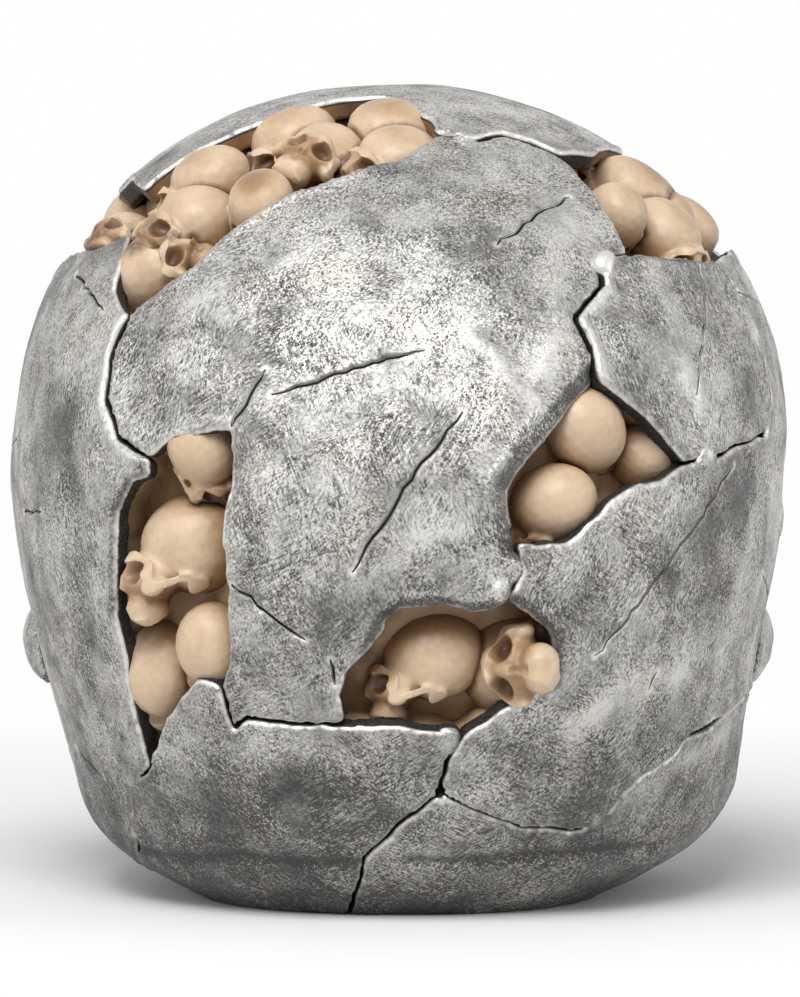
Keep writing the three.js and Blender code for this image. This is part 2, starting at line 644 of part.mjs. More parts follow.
// Skin: one shell, cut through by the openings and parted along the cracks
const openings = Object.fromEntries(Object.entries(openingShares).map(([name, runs]) => [name, directionsOf(runs)]));
const underPlates = skullBody(-plateThickness, innerDetail);
const skinCuts = [
  underPlates,
  ...Object.values(openings).map((directions) => coneThrough(directions, coneNear, coneFar)),
  ...crackShares.map((runs) => crackBlade(directionsOf(runs), crackWidth)),
  ...socketSpace,
  noseSpace,
  toothSpace,
  feltSpace,
  belowFoot,
];
const skin = skullBody(0, skinDetail).subtract(wasm.Manifold.union(skinCuts));

// Each plate is the piece of skin that lies at its anchor. Some plates sit lower than their neighbours.
const plates = [
  { name: "back_centre_plate", anchor: ["back", 0, 0.65], sunk: 0.8 },
  { name: "left_side_plate", anchor: ["back", -0.88, 0.5], sunk: 0.4 },
  { name: "crown_plate", anchor: ["back", 0.22, 0.965], sunk: 0 },
  { name: "right_upper_plate", anchor: ["back", 0.72, 0.66], sunk: 0.3 },
  { name: "right_back_plate", anchor: ["back", 0.68, 0.3], sunk: 0 },
  { name: "right_temple_plate", anchor: ["right", 0.063, 0.68], sunk: 0.5 },
  { name: "lower_left_plate", anchor: ["back", -0.4, 0.1], sunk: 0.4 },
  { name: "lower_right_plate", anchor: ["right", -0.3, 0.12], sunk: 0.4 },
  { name: "forehead_plate", anchor: ["front", 0.2, 0.69], sunk: 0.4 },
  { name: "left_ear_plate", anchor: ["left", 0.381, 0.44], sunk: 0.7 },
  { name: "right_ear_plate", anchor: ["right", 0.381, 0.42], sunk: 0.7 },
  { name: "left_brow_plate", anchor: ["front", -0.4, 0.6], sunk: 0 },
  { name: "right_brow_plate", anchor: ["front", 0.4, 0.6], sunk: 0.2 },
  { name: "nose_bridge_plate", anchor: ["front", 0, 0.47], sunk: 0 },
  { name: "left_cheek_plate", anchor: ["front", -0.34, 0.2], sunk: 0.2 },
  { name: "right_cheek_plate", anchor: ["front", 0.34, 0.2], sunk: 0 },
  { name: "palate_plate", anchor: ["under", 0, 0.635], sunk: 0.2 },
];

// A needle through the skin along a direction
function needleAlong(direction) {
  const radius = skullRadius(direction);
  const aside = direction.clone().cross(new THREE.Vector3(0.3, 0.5, 0.8)).setLength(crackWidth / halfBreadth);
  const corners = [0, 1, 2].map((i) => {
    const corner = aside.clone().applyAxisAngle(direction, (2 * Math.PI * i) / 3);
    return corner.add(direction).normalize();
  });
  return coneThrough(corners, radius - plateThickness, radius + plateThickness);
}

const skinPieces = skin.decompose();
const taken = new Set();
for (const { name, anchor, sunk } of plates) {
  const needle = needleAlong(seenFrom(...anchor));
  const found = skinPieces.find((piece) => piece.intersect(needle).volume() > 0);
  if (!found || taken.has(found)) throw new Error(`no piece of skin of its own at the anchor of ${name}`);
  taken.add(found);
  const lowered = sunk > 0 ? largestPiece(found.intersect(skullBody(-sunk, skinDetail))) : found;
  addPiece(name, lowered, silver);
}

// Core: one ivory body with a hollow behind each opening
const hollows = Object.values(openings).map((directions) =>
  coneThrough(widened(directions, hollowUndercut), coneNear, coneFar).subtract(hollowFloor),
);
const core = coreOutside.subtract(
  wasm.Manifold.union([...hollows, ...socketSpace, noseSpace, toothSpace, feltSpace, belowFoot]),
);
addPiece("core", largestPiece(core), fillIvory);
addPiece("felt_pad", feltSolid(0, 0, feltThickness), feltBlack);

// Linings of the eye sockets and the nose
for (const [sideName, side] of Object.entries(sides)) {
  const bowl = socketSolid(side, 0).subtract(socketSolid(side, -socketWall).translate([0, socketWall / 2, 0]));
  addPiece(`${sideName}_socket_lining`, largestPiece(bowl.intersect(linerOutside)), darkSilver);
}
const noseBox = noseSolid(0, noseBack, farAway).subtract(noseSolid(-noseWall, noseBack + noseWall, farAway));
const septum = boxSolid(
  septumThickness, noseDepth / 2, noseHeight - noseWall, 0, noseBack + noseWall + noseDepth / 4, noseLevel + noseHeight / 2,
).intersect(noseSolid(-noseWall / 2, noseBack + noseWall / 2, farAway));
addPiece("nose_lining", largestPiece(noseBox.add(septum).intersect(linerOutside)), darkSilver);

// Teeth: rounded blocks side by side in one row, held together by a band behind their crowns
const toothWidthShares = [1.1, 0.88, 0.94, 0.86, 0.86, 1.25, 1.05];
const toothDrops = [0, 0.06, 0.02, 0.07, 0.09, 0.09, 0.14];
const boxiness = 3.2;
const toothDetail = 1;

function toothSolid(turn, width, drop) {
  const axes = new THREE.Vector3(width / 2, toothDepth / 2 - toothInset, (toothHeight * (1 - drop)) / 2);
  const geometry = starGeometry((d) => {
    const sum =
      Math.pow(Math.abs(d.x / axes.x), boxiness) +
      Math.pow(Math.abs(d.y / axes.y), boxiness) +
      Math.pow(Math.abs(d.z / axes.z), boxiness);
    return Math.pow(sum, -1 / boxiness);
  }, toothDetail);
  const here = rowPoint(turn, 0);
  const ahead = rowPoint(turn + toothOverlap / toothRowBreadth, 0);
  geometry.rotateZ(Math.atan2(ahead.y - here.y, ahead.x - here.x));
  return solidOf(geometry.translate(here.x, here.y, toothTop - axes.z));
}

// Turn along the row at which a length from its middle is reached
function turnAt(length) {
  const fine = 200;
  let walked = 0;
  let turn = 0;
  let last = rowPoint(0, 0);
  while (walked < length && turn < Math.PI / 2) {
    turn += Math.PI / 2 / fine;
    const next = rowPoint(turn, 0);
    walked += next.distanceTo(last);
    last = next;
  }
  return turn;
}

const walkSteps = 60;
const walk = Array.from({ length: walkSteps + 1 }, (_, i) => rowPoint((Math.PI / 2) * (i / walkSteps), 0));
const rowHalfLength = walk.slice(1).reduce((sum, p, i) => sum + p.distanceTo(walk[i]), 0);
const shareSum = toothWidthShares.reduce((a, b) => a + b, 0);
const teeth = Object.values(sides).flatMap((side) => {
  let start = 0;
  return toothWidthShares.map((share, i) => {
    const width = (rowHalfLength * share) / shareSum;
    const turn = side * turnAt(start + width / 2);
    start += width;
    return toothSolid(turn, width + toothOverlap, toothDrops[i]);
  });
});
const rootBand = rowBand(toothDepth / 4, toothTop - toothHeight / 2, toothTop - toothHeight / 8, 0);
addPiece("upper_teeth", largestPiece(wasm.Manifold.union([...teeth, rootBand])), toothSilver);

// Cheek arches: bars from the cheek back to the side of the braincase, as shares [across, forward, upward]
const archPathShares = [
  [0.6, 0.76, 0.315], [0.72, 0.68, 0.31], [0.84, 0.56, 0.302], [0.905, 0.42, 0.3], [0.935, 0.26, 0.298],
  [0.925, 0.12, 0.295], [0.88, -0.02, 0.29],
];
const archRing = 10;
const archSteps = 14;

function archSolid(side) {
  const path = new THREE.CatmullRomCurve3(
    archPathShares.map(([across, forward, upward]) => inSizes([across * side, forward, upward])),
  );
  const shape = new THREE.Shape(
    Array.from({ length: archRing }, (_, i) => {
      const turn = (2 * Math.PI * i) / archRing;
      return new THREE.Vector2((archHeight / 2) * Math.sin(turn), (archThickness / 2) * Math.cos(turn));
    }),
  );
  const geometry = new THREE.ExtrudeGeometry(shape, { steps: archSteps, extrudePath: path, bevelEnabled: false });
  return solidOf(geometry);
}

const roomAroundSkin = skullBody(clearance, skinDetail);
for (const [sideName, side] of Object.entries(sides)) {
  addPiece(`${sideName}_cheek_arch`, largestPiece(archSolid(side).subtract(roomAroundSkin)), silver);
}

// Small skulls. Each one is an egg-shaped braincase with a face in front, dented by eyes and nose. The radius
// is measured from a point in its middle, as a share of its length; its face looks along +Y.
const smallBraincase = { place: [0, -0.12, 0.06], radii: [0.33, 0.38, 0.32] };
const smallFace = { place: [0, 0.2, -0.15], radii: [0.25, 0.26, 0.25] };
const smallDents = [
  { towards: [0.45, 0.88, 0.02], depthShare: 0.1, spread: 0.27 },
  { towards: [-0.45, 0.88, 0.02], depthShare: 0.1, spread: 0.27 },
  { towards: [0, 0.93, -0.36], depthShare: 0.06, spread: 0.16 },
];
const faceBlend = 0.06;

function reachOf(direction, { place, radii }) {
  const size = new THREE.Vector3(...radii);
  const from = new THREE.Vector3(...place).divide(size);
  const along = direction.clone().divide(size);
  const a = along.dot(along);
  const b = -along.dot(from);
  const inside = b * b - a * (from.dot(from) - 1);
  return inside > 0 ? (-b + Math.sqrt(inside)) / a : 0;
}

function smallSkullShare(direction) {
  const base = -blendedLeast(-reachOf(direction, smallBraincase), -reachOf(direction, smallFace), faceBlend);
  return smallDents.reduce((radius, { towards, depthShare, spread }) => {
    const away = direction.angleTo(new THREE.Vector3(...towards)) / spread;
    return radius - depthShare * Math.exp(-away * away);
  }, base);
}

// at: place in the view. outShare: from the drawing plane towards the eye, as a share of the reach on that side.
// facing: turn of the face in the picture from rightwards, then its tilt towards the eye. roll: about the face.
// from: the view it is placed in, where that isn't the view of its opening.
const smallSkulls = {
  crown_left: [
    { at: [0.017, 0.921], outShare: 0.37, facing: [-20, -20], roll: 20, sizeShare: 0.87 },
    { at: [-0.29, 0.915], outShare: 0.35, facing: [195, 38], roll: 185, sizeShare: 0.84 },
    { at: [-0.51, 0.868], outShare: 0.39, facing: [192, -10], roll: 190, sizeShare: 0.76 },
    { at: [-0.2, 0.9], outShare: 0.46, facing: [105, 55], roll: 222, sizeShare: 0.9 },
    { at: [-0.03, 0.895], outShare: 0.51, facing: [160, 42], roll: 180, sizeShare: 0.85 },
    { at: [-0.545, 0.817], outShare: 0.5, facing: [158, 35], roll: 180, sizeShare: 0.88 },
    { at: [-0.355, 0.838], outShare: 0.59, facing: [-80, -20], roll: 60, sizeShare: 0.68 },
    { at: [-0.607, 0.768], outShare: 0.54, facing: [68, 45], roll: 0, sizeShare: 0.82 },
    { at: [-0.715, 0.795], outShare: 0.33, facing: [125, 35], roll: 240, sizeShare: 0.8 },
    { from: "left", at: [0.17, 0.828], outShare: 0.67, facing: [190, 15], roll: 190, sizeShare: 0.9 },
  ],
  crown_right: [
    { at: [0.545, 0.825], outShare: 0.43, facing: [230, -35], roll: 120, sizeShare: 0.68 },
    { at: [0.694, 0.797], outShare: 0.37, facing: [-20, 48], roll: 20, sizeShare: 0.82 },
    { at: [0.66, 0.822], outShare: 0.22, facing: [230, -30], roll: 90, sizeShare: 0.68 },
    { at: [0.56, 0.862], outShare: 0.24, facing: [150, -5], roll: 180, sizeShare: 0.86 },
    { at: [0.69, 0.815], outShare: 0.1, facing: [190, -20], roll: 90, sizeShare: 0.78 },
    { from: "right", at: [0.2, 0.853], outShare: 0.6, facing: [10, 10], roll: 0, sizeShare: 0.88 },
  ],
  nape_left: [
    { at: [-0.555, 0.41], outShare: 0.75, facing: [190, 5], roll: 185, sizeShare: 1.05 },
    { at: [-0.494, 0.53], outShare: 0.81, facing: [-60, 10], roll: 60, sizeShare: 0.7 },
    { at: [-0.475, 0.283], outShare: 0.77, facing: [-85, -10], roll: 90, sizeShare: 0.75 },
    { at: [-0.605, 0.25], outShare: 0.64, facing: [-100, -5], roll: 100, sizeShare: 0.85 },
  ],
  nape_right: [
    { at: [0.49, 0.558], outShare: 0.78, facing: [-60, -30], roll: 90, sizeShare: 0.8 },
    { at: [0.372, 0.462], outShare: 0.83, facing: [200, -30], roll: 180, sizeShare: 0.8 },
    { at: [0.65, 0.53], outShare: 0.7, facing: [10, -40], roll: 0, sizeShare: 0.66 },
  ],
  nape_middle: [
    { at: [0.055, 0.27], outShare: 0.83, facing: [190, 10], roll: 180, sizeShare: 0.92 },
    { at: [0.3, 0.272], outShare: 0.81, facing: [180, 66], roll: -88, sizeShare: 1.12 },
  ],
  forehead_left: [
    { at: [-0.33, 0.77], outShare: 0.74, facing: [215, 45], roll: 190, sizeShare: 0.9 },
    { at: [-0.13, 0.765], outShare: 0.79, facing: [60, -20], roll: 90, sizeShare: 0.95 },
  ],
  forehead_right: [
    { at: [0.41, 0.82], outShare: 0.67, facing: [200, 50], roll: 180, sizeShare: 0.75 },
    { at: [0.52, 0.785], outShare: 0.65, facing: [-60, -20], roll: 90, sizeShare: 0.7 },
  ],
  temple_left: [
    { at: [0.254, 0.7], outShare: 0.8, facing: [30, 40], roll: 10, sizeShare: 0.85 },
    { at: [0.381, 0.62], outShare: 0.78, facing: [-60, -20], roll: 90, sizeShare: 0.8 },
    { at: [0.254, 0.57], outShare: 0.82, facing: [200, 40], roll: 190, sizeShare: 0.75 },
  ],
  temple_right: [
    { at: [0.212, 0.56], outShare: 0.84, facing: [210, 45], roll: 190, sizeShare: 0.8 },
    { at: [0.349, 0.64], outShare: 0.8, facing: [80, -20], roll: 90, sizeShare: 0.8 },
    { at: [0.434, 0.58], outShare: 0.71, facing: [-30, 40], roll: 0, sizeShare: 0.75 },
  ],
};
const quietDetail = 2;
const faceDetail = 2;

// Axes of a small skull: to its right, to its face, to its top
function smallSkullAxes(view, [turn, tilt], roll) {
  const across = view.place(1, 0).sub(view.place(0, 0)).normalize();
  const upward = view.place(0, 1).sub(view.place(0, 0)).normalize();
  const near = view.eye.clone().sub(view.place(0, 0)).setComponent(2, 0).normalize();
  const [turned, tilted, rolled] = [turn, tilt, roll].map(THREE.MathUtils.degToRad);
  const flatFace = across.clone().multiplyScalar(Math.cos(turned)).addScaledVector(upward, Math.sin(turned));
  const flatTop = across.clone().multiplyScalar(-Math.sin(turned)).addScaledVector(upward, Math.cos(turned));
  const face = flatFace.multiplyScalar(Math.cos(tilted)).addScaledVector(near, Math.sin(tilted)).normalize();
  const top = flatTop.applyAxisAngle(face, rolled);
  return { right: face.clone().cross(top), face, top };
}

function smallSkullSolid(viewName, { from = viewName, at, outShare, facing, roll, sizeShare }, growth) {
  const view = views[from];
  const target = view.place(...at);
  const middle = target.clone().addScaledVector(view.eye.clone().sub(target).normalize(), outShare * view.reach);
  const { right, face, top } = smallSkullAxes(view, facing, roll);
  const length = sizeShare * smallSkullLength;
  const detail = facing[1] > 0 ? faceDetail : quietDetail;
  const geometry = starGeometry((direction) => smallSkullShare(direction) * length + growth, detail);
  geometry.applyMatrix4(new THREE.Matrix4().makeBasis(right, face, top).setPosition(middle));
  return solidOf(geometry);
}

const roomInCore = skullBody(-plateThickness - 3 * clearance, innerDetail);
const aboveFloor = skullBody(-plateThickness - hollowDepth + clearance, floorDetail);
for (const [openingName, rows] of Object.entries(smallSkulls)) {
  const directions = openings[openingName];
  const behind = coneThrough(widened(directions, hollowUndercut - clearance), coneNear, coneFar).intersect(roomInCore);
  const through = coneThrough(widened(directions, -2 * clearance), coneNear, coneFar);
  const room = behind.add(through).subtract(aboveFloor);
  const viewName = openingShares[openingName][0][0];
  rows.forEach((row, i) => {
    const earlier = rows.slice(0, i).map((other) => smallSkullSolid(viewName, other, smallSkullGap));
    const solid = smallSkullSolid(viewName, row, 0).intersect(room).subtract(wasm.Manifold.union(earlier));
    addPiece(`${openingName}_small_skull_${i + 1}`, largestPiece(solid), ivory);
  });
}

// The whole stands on z = 0 with its bounding box centred on the vertical axis.
const bounds = new THREE.Box3().setFromObject(group);
const shift = bounds.getCenter(new THREE.Vector3()).multiplyScalar(-1).setZ(-bounds.min.z);
group.children.forEach((mesh) => mesh.geometry.translate(shift.x, shift.y, shift.z));

export default group;
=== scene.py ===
import math

import bmesh
import bpy
import numpy as np
from mathutils import Matrix, Quaternion, Vector
from mathutils.bvhtree import BVHTree
from mathutils.kdtree import KDTree


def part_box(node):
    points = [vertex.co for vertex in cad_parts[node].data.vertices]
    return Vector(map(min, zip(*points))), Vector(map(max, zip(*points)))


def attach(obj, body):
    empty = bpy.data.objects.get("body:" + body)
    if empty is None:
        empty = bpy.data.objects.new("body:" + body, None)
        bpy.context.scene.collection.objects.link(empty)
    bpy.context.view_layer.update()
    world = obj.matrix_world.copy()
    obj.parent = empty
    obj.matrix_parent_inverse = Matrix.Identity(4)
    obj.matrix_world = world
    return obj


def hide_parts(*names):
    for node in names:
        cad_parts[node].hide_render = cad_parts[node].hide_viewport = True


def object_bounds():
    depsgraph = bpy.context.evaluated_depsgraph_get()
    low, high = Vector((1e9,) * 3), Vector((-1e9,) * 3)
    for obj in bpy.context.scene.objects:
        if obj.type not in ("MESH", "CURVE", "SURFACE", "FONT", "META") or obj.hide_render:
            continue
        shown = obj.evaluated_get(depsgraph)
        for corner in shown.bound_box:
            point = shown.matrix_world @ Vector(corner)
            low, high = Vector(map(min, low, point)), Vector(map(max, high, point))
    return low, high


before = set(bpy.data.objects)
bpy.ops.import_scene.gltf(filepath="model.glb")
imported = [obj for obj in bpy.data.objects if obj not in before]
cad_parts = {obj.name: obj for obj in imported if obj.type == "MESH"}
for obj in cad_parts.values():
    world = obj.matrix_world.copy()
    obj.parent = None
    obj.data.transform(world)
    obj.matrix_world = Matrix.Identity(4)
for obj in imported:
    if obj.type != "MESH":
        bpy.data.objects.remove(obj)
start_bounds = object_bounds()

# ---------------------------------------------------------------------------------------------------
# Silver plates. The cracked skin is seventeen separate cast plates about 4 mm thick, with a worn antique
# silver finish: bright on the high spots, which are partly rubbed and partly painted highlight, and black
# wash left in the pits, cracks and torn rims, deepened there with painted shade. Dents and the lowest parts
# are painted darker as shade. Each one is bonded to the core. Casting leaves them gently uneven, with beads
# and curled lips of metal on the rims.
# ---------------------------------------------------------------------------------------------------

MM = 0.001

# Sizes of the skull in millimetres, as in the frame
breadth, height, back_length, face_length = 142.0, 146.0, 91.0, 86.0
half_breadth = breadth / 2
centre_height = 0.4795 * height
plate_thickness = 4.0

# The frame is shifted a little so that its box is centred: the felt pad tells by how much.
felt_low, felt_high = (np.array(corner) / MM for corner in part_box("felt_pad"))
felt_setback = 0.1 * back_length
shift = np.array([(felt_low[0] + felt_high[0]) / 2, (felt_low[1] + felt_high[1]) / 2 + felt_setback, 0.0])
centre = shift + (0.0, 0.0, centre_height)

# Half outlines of the braincase as shares: outwards of the reach on that side, upwards of the height
left_outline_shares = [
    (0, 1), (0.22, 0.992), (0.4, 0.968), (0.53, 0.937), (0.635, 0.905), (0.715, 0.871), (0.785, 0.833),
    (0.85, 0.79), (0.91, 0.742), (0.955, 0.68), (0.98, 0.61), (0.997, 0.55), (1, 0.5), (0.988, 0.44),
    (0.97, 0.39), (0.94, 0.33), (0.905, 0.26), (0.875, 0.205), (0.847, 0.16), (0.822, 0.115), (0.772, 0.073),
    (0.65, 0.033), (0.52, 0), (0.3, -0.045), (0, -0.06),
]
right_outline_shares = [
    (0, 1), (0.2, 0.99), (0.37, 0.966), (0.505, 0.937), (0.605, 0.904), (0.685, 0.874), (0.765, 0.842),
    (0.83, 0.81), (0.88, 0.779), (0.93, 0.734), (0.968, 0.685), (0.993, 0.625), (1, 0.57), (0.992, 0.51),
    (0.98, 0.44), (0.952, 0.37), (0.92, 0.29), (0.893, 0.22), (0.88, 0.165), (0.857, 0.115), (0.795, 0.072),
    (0.66, 0.035), (0.51, 0), (0.3, -0.045), (0, -0.06),
]
back_outline_shares = [
    (0, 1), (0.28, 0.988), (0.54, 0.935), (0.76, 0.84), (0.91, 0.715), (0.985, 0.59), (1, 0.49),
    (0.985, 0.39), (0.945, 0.295), (0.885, 0.205), (0.81, 0.125), (0.71, 0.055), (0.58, -0.005),
    (0.3, -0.05), (0, -0.06),
]
face_outline_shares = [
    (0, 1), (0.31, 0.99), (0.58, 0.94), (0.8, 0.855), (0.93, 0.735), (0.975, 0.645), (0.96, 0.56),
    (0.9, 0.47), (0.8, 0.37), (0.68, 0.27), (0.58, 0.18), (0.5, 0.1), (0.42, 0.01), (0.22, -0.05), (0, -0.06),
]
back_roundness, face_roundness = 2.25, 2.1

# Rounded lumps and hollows of the face: place and radii as shares, mirrored across the middle
face_lump_shares = [
    ((0, 0.68, 0.25), (0.46, 0.34, 0.15)),
    ((0, 0.6, 0.115), (0.44, 0.385, 0.05)),
    ((0.6, 0.68, 0.32), (0.22, 0.17, 0.08)),
    ((0.32, 0.87, 0.585), (0.36, 0.12, 0.055)),
    ((0.66, 0.7, 0.5), (0.13, 0.13, 0.12)),
    ((0, 0.91, 0.47), (0.14, 0.11, 0.12)),
    ((0.14, 0.84, 0.375), (0.13, 0.13, 0.1)),
]
face_hollow_shares = [
    ((0.98, 0.5, 0.46), (0.22, 0.28, 0.16)),
    ((0.92, 0.44, 0.15), (0.26, 0.3, 0.12)),
    ((0, 0.62, 0.05), (0.26, 0.26, 0.06)),
]
lump_blend = 0.05 * height
hollow_blend = 0.07 * height


def polar_outline(shares, reach):
    """Elevation angles and radii of a half outline, seen from the skull's centre."""
    points = np.array(shares, float)
    across = points[:, 0] * reach
    rise = points[:, 1] * height - centre_height
    angle = np.arctan2(rise, across)
    order = np.argsort(angle)
    return angle[order], np.hypot(across, rise)[order]


def radius_on(outline, angle):
    """Radius at an elevation angle, on the smooth curve through one half outline."""
    a, r = outline
    last = len(a) - 1
    i = np.clip(np.searchsorted(a[1:], angle, side="left"), 0, last - 1)
    before, after = np.maximum(i - 1, 0), np.minimum(i + 2, last)
    span = a[i + 1] - a[i]
    t = np.clip((angle - a[i]) / span, 0, 1)
    slope_0 = np.where(i > 0, (r[i + 1] - r[before]) / np.maximum(a[i + 1] - a[before], 1e-9) * span, 0)
    slope_1 = np.where(i < last - 1, (r[after] - r[i]) / np.maximum(a[after] - a[i], 1e-9) * span, 0)
    t2, t3 = t * t, t * t * t
    return (
        r[i] * (2 * t3 - 3 * t2 + 1) + slope_0 * (t3 - 2 * t2 + t)
        + r[i + 1] * (3 * t2 - 2 * t3) + slope_1 * (t3 - t2)
    )


left_outline = polar_outline(left_outline_shares, half_breadth)
right_outline = polar_outline(right_outline_shares, half_breadth)
back_outline = polar_outline(back_outline_shares, back_length)
face_outline = polar_outline(face_outline_shares, face_length)


def braincase_radius(d):
    """Radius of the skull without its face, by direction: rounded plans between the half outlines."""
    level = np.maximum(np.hypot(d[:, 0], d[:, 1]), 1e-6)
    angle = np.arctan2(d[:, 2], level)
    side = np.where(d[:, 0] > 0, radius_on(right_outline, angle), radius_on(left_outline, angle))
    to_face = d[:, 1] > 0
    end = np.where(to_face, radius_on(face_outline, angle), radius_on(back_outline, angle))
    power = 2 + (np.where(to_face, face_roundness, back_roundness) - 2) * level * level
    total = (np.abs(d[:, 0]) / level / side) ** power + (np.abs(d[:, 1]) / level / end) ** power
    return np.where(level > 2e-6, np.maximum(total, 1e-9) ** (-1 / power), side)


def in_sizes(entries):
    """Lumps or hollows in millimetres, each on both sides unless it lies in the middle."""
    sizes = np.array([half_breadth, face_length, height])
    for place, radii in entries:
        for side in (1,) if place[0] == 0 else (1, -1):
            yield np.array([place[0] * side, place[1], place[2]]) * sizes, np.array(radii) * sizes


face_lumps = list(in_sizes(face_lump_shares))
face_hollows = list(in_sizes(face_hollow_shares))


def ellipsoid_distance(points, place, radii):
    """Rough distance from an egg shape, below zero inside it."""
    scaled = (points - place) / radii
    k = np.linalg.norm(scaled, axis=1)
    k2 = np.maximum(np.linalg.norm(scaled / radii, axis=1), 1e-9)
    return k * (k - 1) / k2


def blended_least(a, b, width):
    """The lesser of two distances, with the corner between them rounded over a width."""
    h = np.maximum(width - np.abs(a - b), 0) / width
    return np.minimum(a, b) - h * h * width / 4


def surface_distance(points):
    """Distance from the outside of the skull, for points in millimetres measured without the shift."""
    offset = points - (0, 0, centre_height)
    far = np.maximum(np.linalg.norm(offset, axis=1), 1e-9)
    distance = far - braincase_radius(offset / far[:, None])
    for place, radii in face_lumps:
        distance = blended_least(distance, ellipsoid_distance(points, place, radii), lump_blend)
    for place, radii in face_hollows:
        distance = -blended_least(-distance, ellipsoid_distance(points, place, radii), hollow_blend)
    return distance


halvings = 13


def first_inside(origins, rays, near, far, steps):
    """How far along each ray its first point under the surface lies, or nan."""
    outside = np.full(len(rays), float(near))
    found = np.full(len(rays), np.nan)
    open_rays = np.arange(len(rays))
    for i in range(1, steps + 1):
        along = near + (far - near) * i / steps
        inside = surface_distance(origins[open_rays] + rays[open_rays] * along) < 0
        found[open_rays[inside]] = along
        outside[open_rays[~inside]] = along
        open_rays = open_rays[~inside]
        if not len(open_rays):
            break
    hit = ~np.isnan(found)
    low, high = outside[hit], found[hit]
    for _ in range(halvings):
        middle = (low + high) / 2
        under = surface_distance(origins[hit] + rays[hit] * middle[:, None]) < 0
        high = np.where(under, middle, high)
        low = np.where(under, low, middle)
    found[hit] = high
    return found


# Radius of the skull by direction, tabulated once on a fine grid of angles. The lumps and hollows of the
# face don't reach the back, where the braincase alone counts.
azimuth_cells, elevation_cells = 480, 240
face_starts_at = -0.25
face_search_steps = 40
azimuths = np.linspace(-math.pi, math.pi, azimuth_cells + 1)
elevations = np.linspace(-math.pi / 2, math.pi / 2, elevation_cells + 1)
grid_elevation, grid_azimuth = np.meshgrid(elevations, azimuths, indexing="ij")
grid_directions = np.stack(
    [
        np.cos(grid_elevation) * np.cos(grid_azimuth),
        np.cos(grid_elevation) * np.sin(grid_azimuth),
        np.sin(grid_elevation),
    ],
    axis=-1,
).reshape(-1, 3)
radius_table = braincase_radius(grid_directions)
on_face = grid_directions[:, 1] > face_starts_at
longest = 1.5 * max(back_length, face_length, height - centre_height, half_breadth)
face_directions = grid_directions[on_face]
middle_point = np.tile((0.0, 0.0, centre_height), (len(face_directions), 1))
inwards = first_inside(
    middle_point + face_directions * longest, -face_directions, 0, longest, face_search_steps,
)
radius_table[on_face] = longest - inwards
radius_table = radius_table.reshape(elevation_cells + 1, azimuth_cells + 1)


def on_table(table, d):
    """Value of a table of directions, smoothly between its cells."""
    azimuth = (np.arctan2(d[:, 1], d[:, 0]) + math.pi) / (2 * math.pi) * azimuth_cells
    elevation = (np.arcsin(np.clip(d[:, 2], -1, 1)) + math.pi / 2) / math.pi * elevation_cells
    i = np.clip(azimuth.astype(int), 0, azimuth_cells - 1)
    j = np.clip(elevation.astype(int), 0, elevation_cells - 1)
    u, v = azimuth - i, elevation - j
    return (
        table[j, i] * (1 - u) * (1 - v)
        + table[j, i + 1] * u * (1 - v)
        + table[j + 1, i] * (1 - u) * v
        + table[j + 1, i + 1] * u * v
    )


def skull_radius(d):
    return on_table(radius_table, d)


# Views in which outlines are drawn, as in the frame: where the eye is, and how shares become a place
eye_distance, back_eye_rise = 1200.0, 63.0
view_search_steps = 90


def along_reach(forward):
    return forward * (face_length if forward > 0 else back_length)


views = {
    "back": ((0, -eye_distance, centre_height + back_eye_rise), lambda a, b: (a * half_breadth, 0, b * height)),
    "front": ((0, eye_distance, centre_height), lambda a, b: (a * half_breadth, 0, b * height)),
    "left": ((-eye_distance, 0, centre_height), lambda a, b: (0, along_reach(a), b * height)),
    "right": ((eye_distance, 0, centre_height), lambda a, b: (0, along_reach(a), b * height)),
}


def seen_from(view, places):
    """Directions from the skull's centre to what the eye sees at places of a view."""
    eye, place = views[view]
    eye = np.array(eye, float)
    targets = np.array([place(*p) for p in places], float)
    rays = targets - eye
    rays /= np.linalg.norm(rays, axis=1)[:, None]
    middle = np.array([0, 0, centre_height])
    nearest = float(np.mean(rays @ (middle - eye)))
    span = 1.4 * max(back_length, height)
    origins = np.tile(eye, (len(rays), 1))
    along = first_inside(origins, rays, nearest - span, nearest, view_search_steps)
    along = np.where(np.isnan(along), rays @ (middle - eye), along)
    d = origins + rays * along[:, None] - middle
    return d / np.linalg.norm(d, axis=1)[:, None]


# A field of soft random values from about -1 to 1, the same at every run
lattice_size = 32
lattice = np.random.default_rng(11).uniform(-1, 1, (lattice_size,) * 3)


def unevenness(points, size, offset):
    """Value of the field, with waves about as wide as size."""
    p = points / size + offset
    i = np.floor(p).astype(int)
    f = p - i
    f = f * f * (3 - 2 * f)
    a, b = i % lattice_size, (i + 1) % lattice_size
    total = 0
    for x, wx in ((a[:, 0], 1 - f[:, 0]), (b[:, 0], f[:, 0])):
        for y, wy in ((a[:, 1], 1 - f[:, 1]), (b[:, 1], f[:, 1])):
            for z, wz in ((a[:, 2], 1 - f[:, 2]), (b[:, 2], f[:, 2])):
                total = total + lattice[x, y, z] * wx * wy * wz
    return total


def waves(points, *layers):
    """Sum of several sizes of unevenness, each as (height, size, offset)."""
    return sum(high * unevenness(points, size, offset) for high, size, offset in layers)


def coordinates(obj):
    """An object's vertices in millimetres."""
    co = np.empty(len(obj.data.vertices) * 3, np.float32)
    obj.data.vertices.foreach_get("co", co)
    return co.reshape(-1, 3).astype(float) / MM


def place_vertices(obj, points):
    obj.data.vertices.foreach_set("co", (points * MM).astype(np.float32).ravel())
    obj.data.update()


def normals(obj):
    n = np.empty(len(obj.data.vertices) * 3, np.float32)
    obj.data.vertices.foreach_get("normal", n)
    return n.reshape(-1, 3).astype(float)


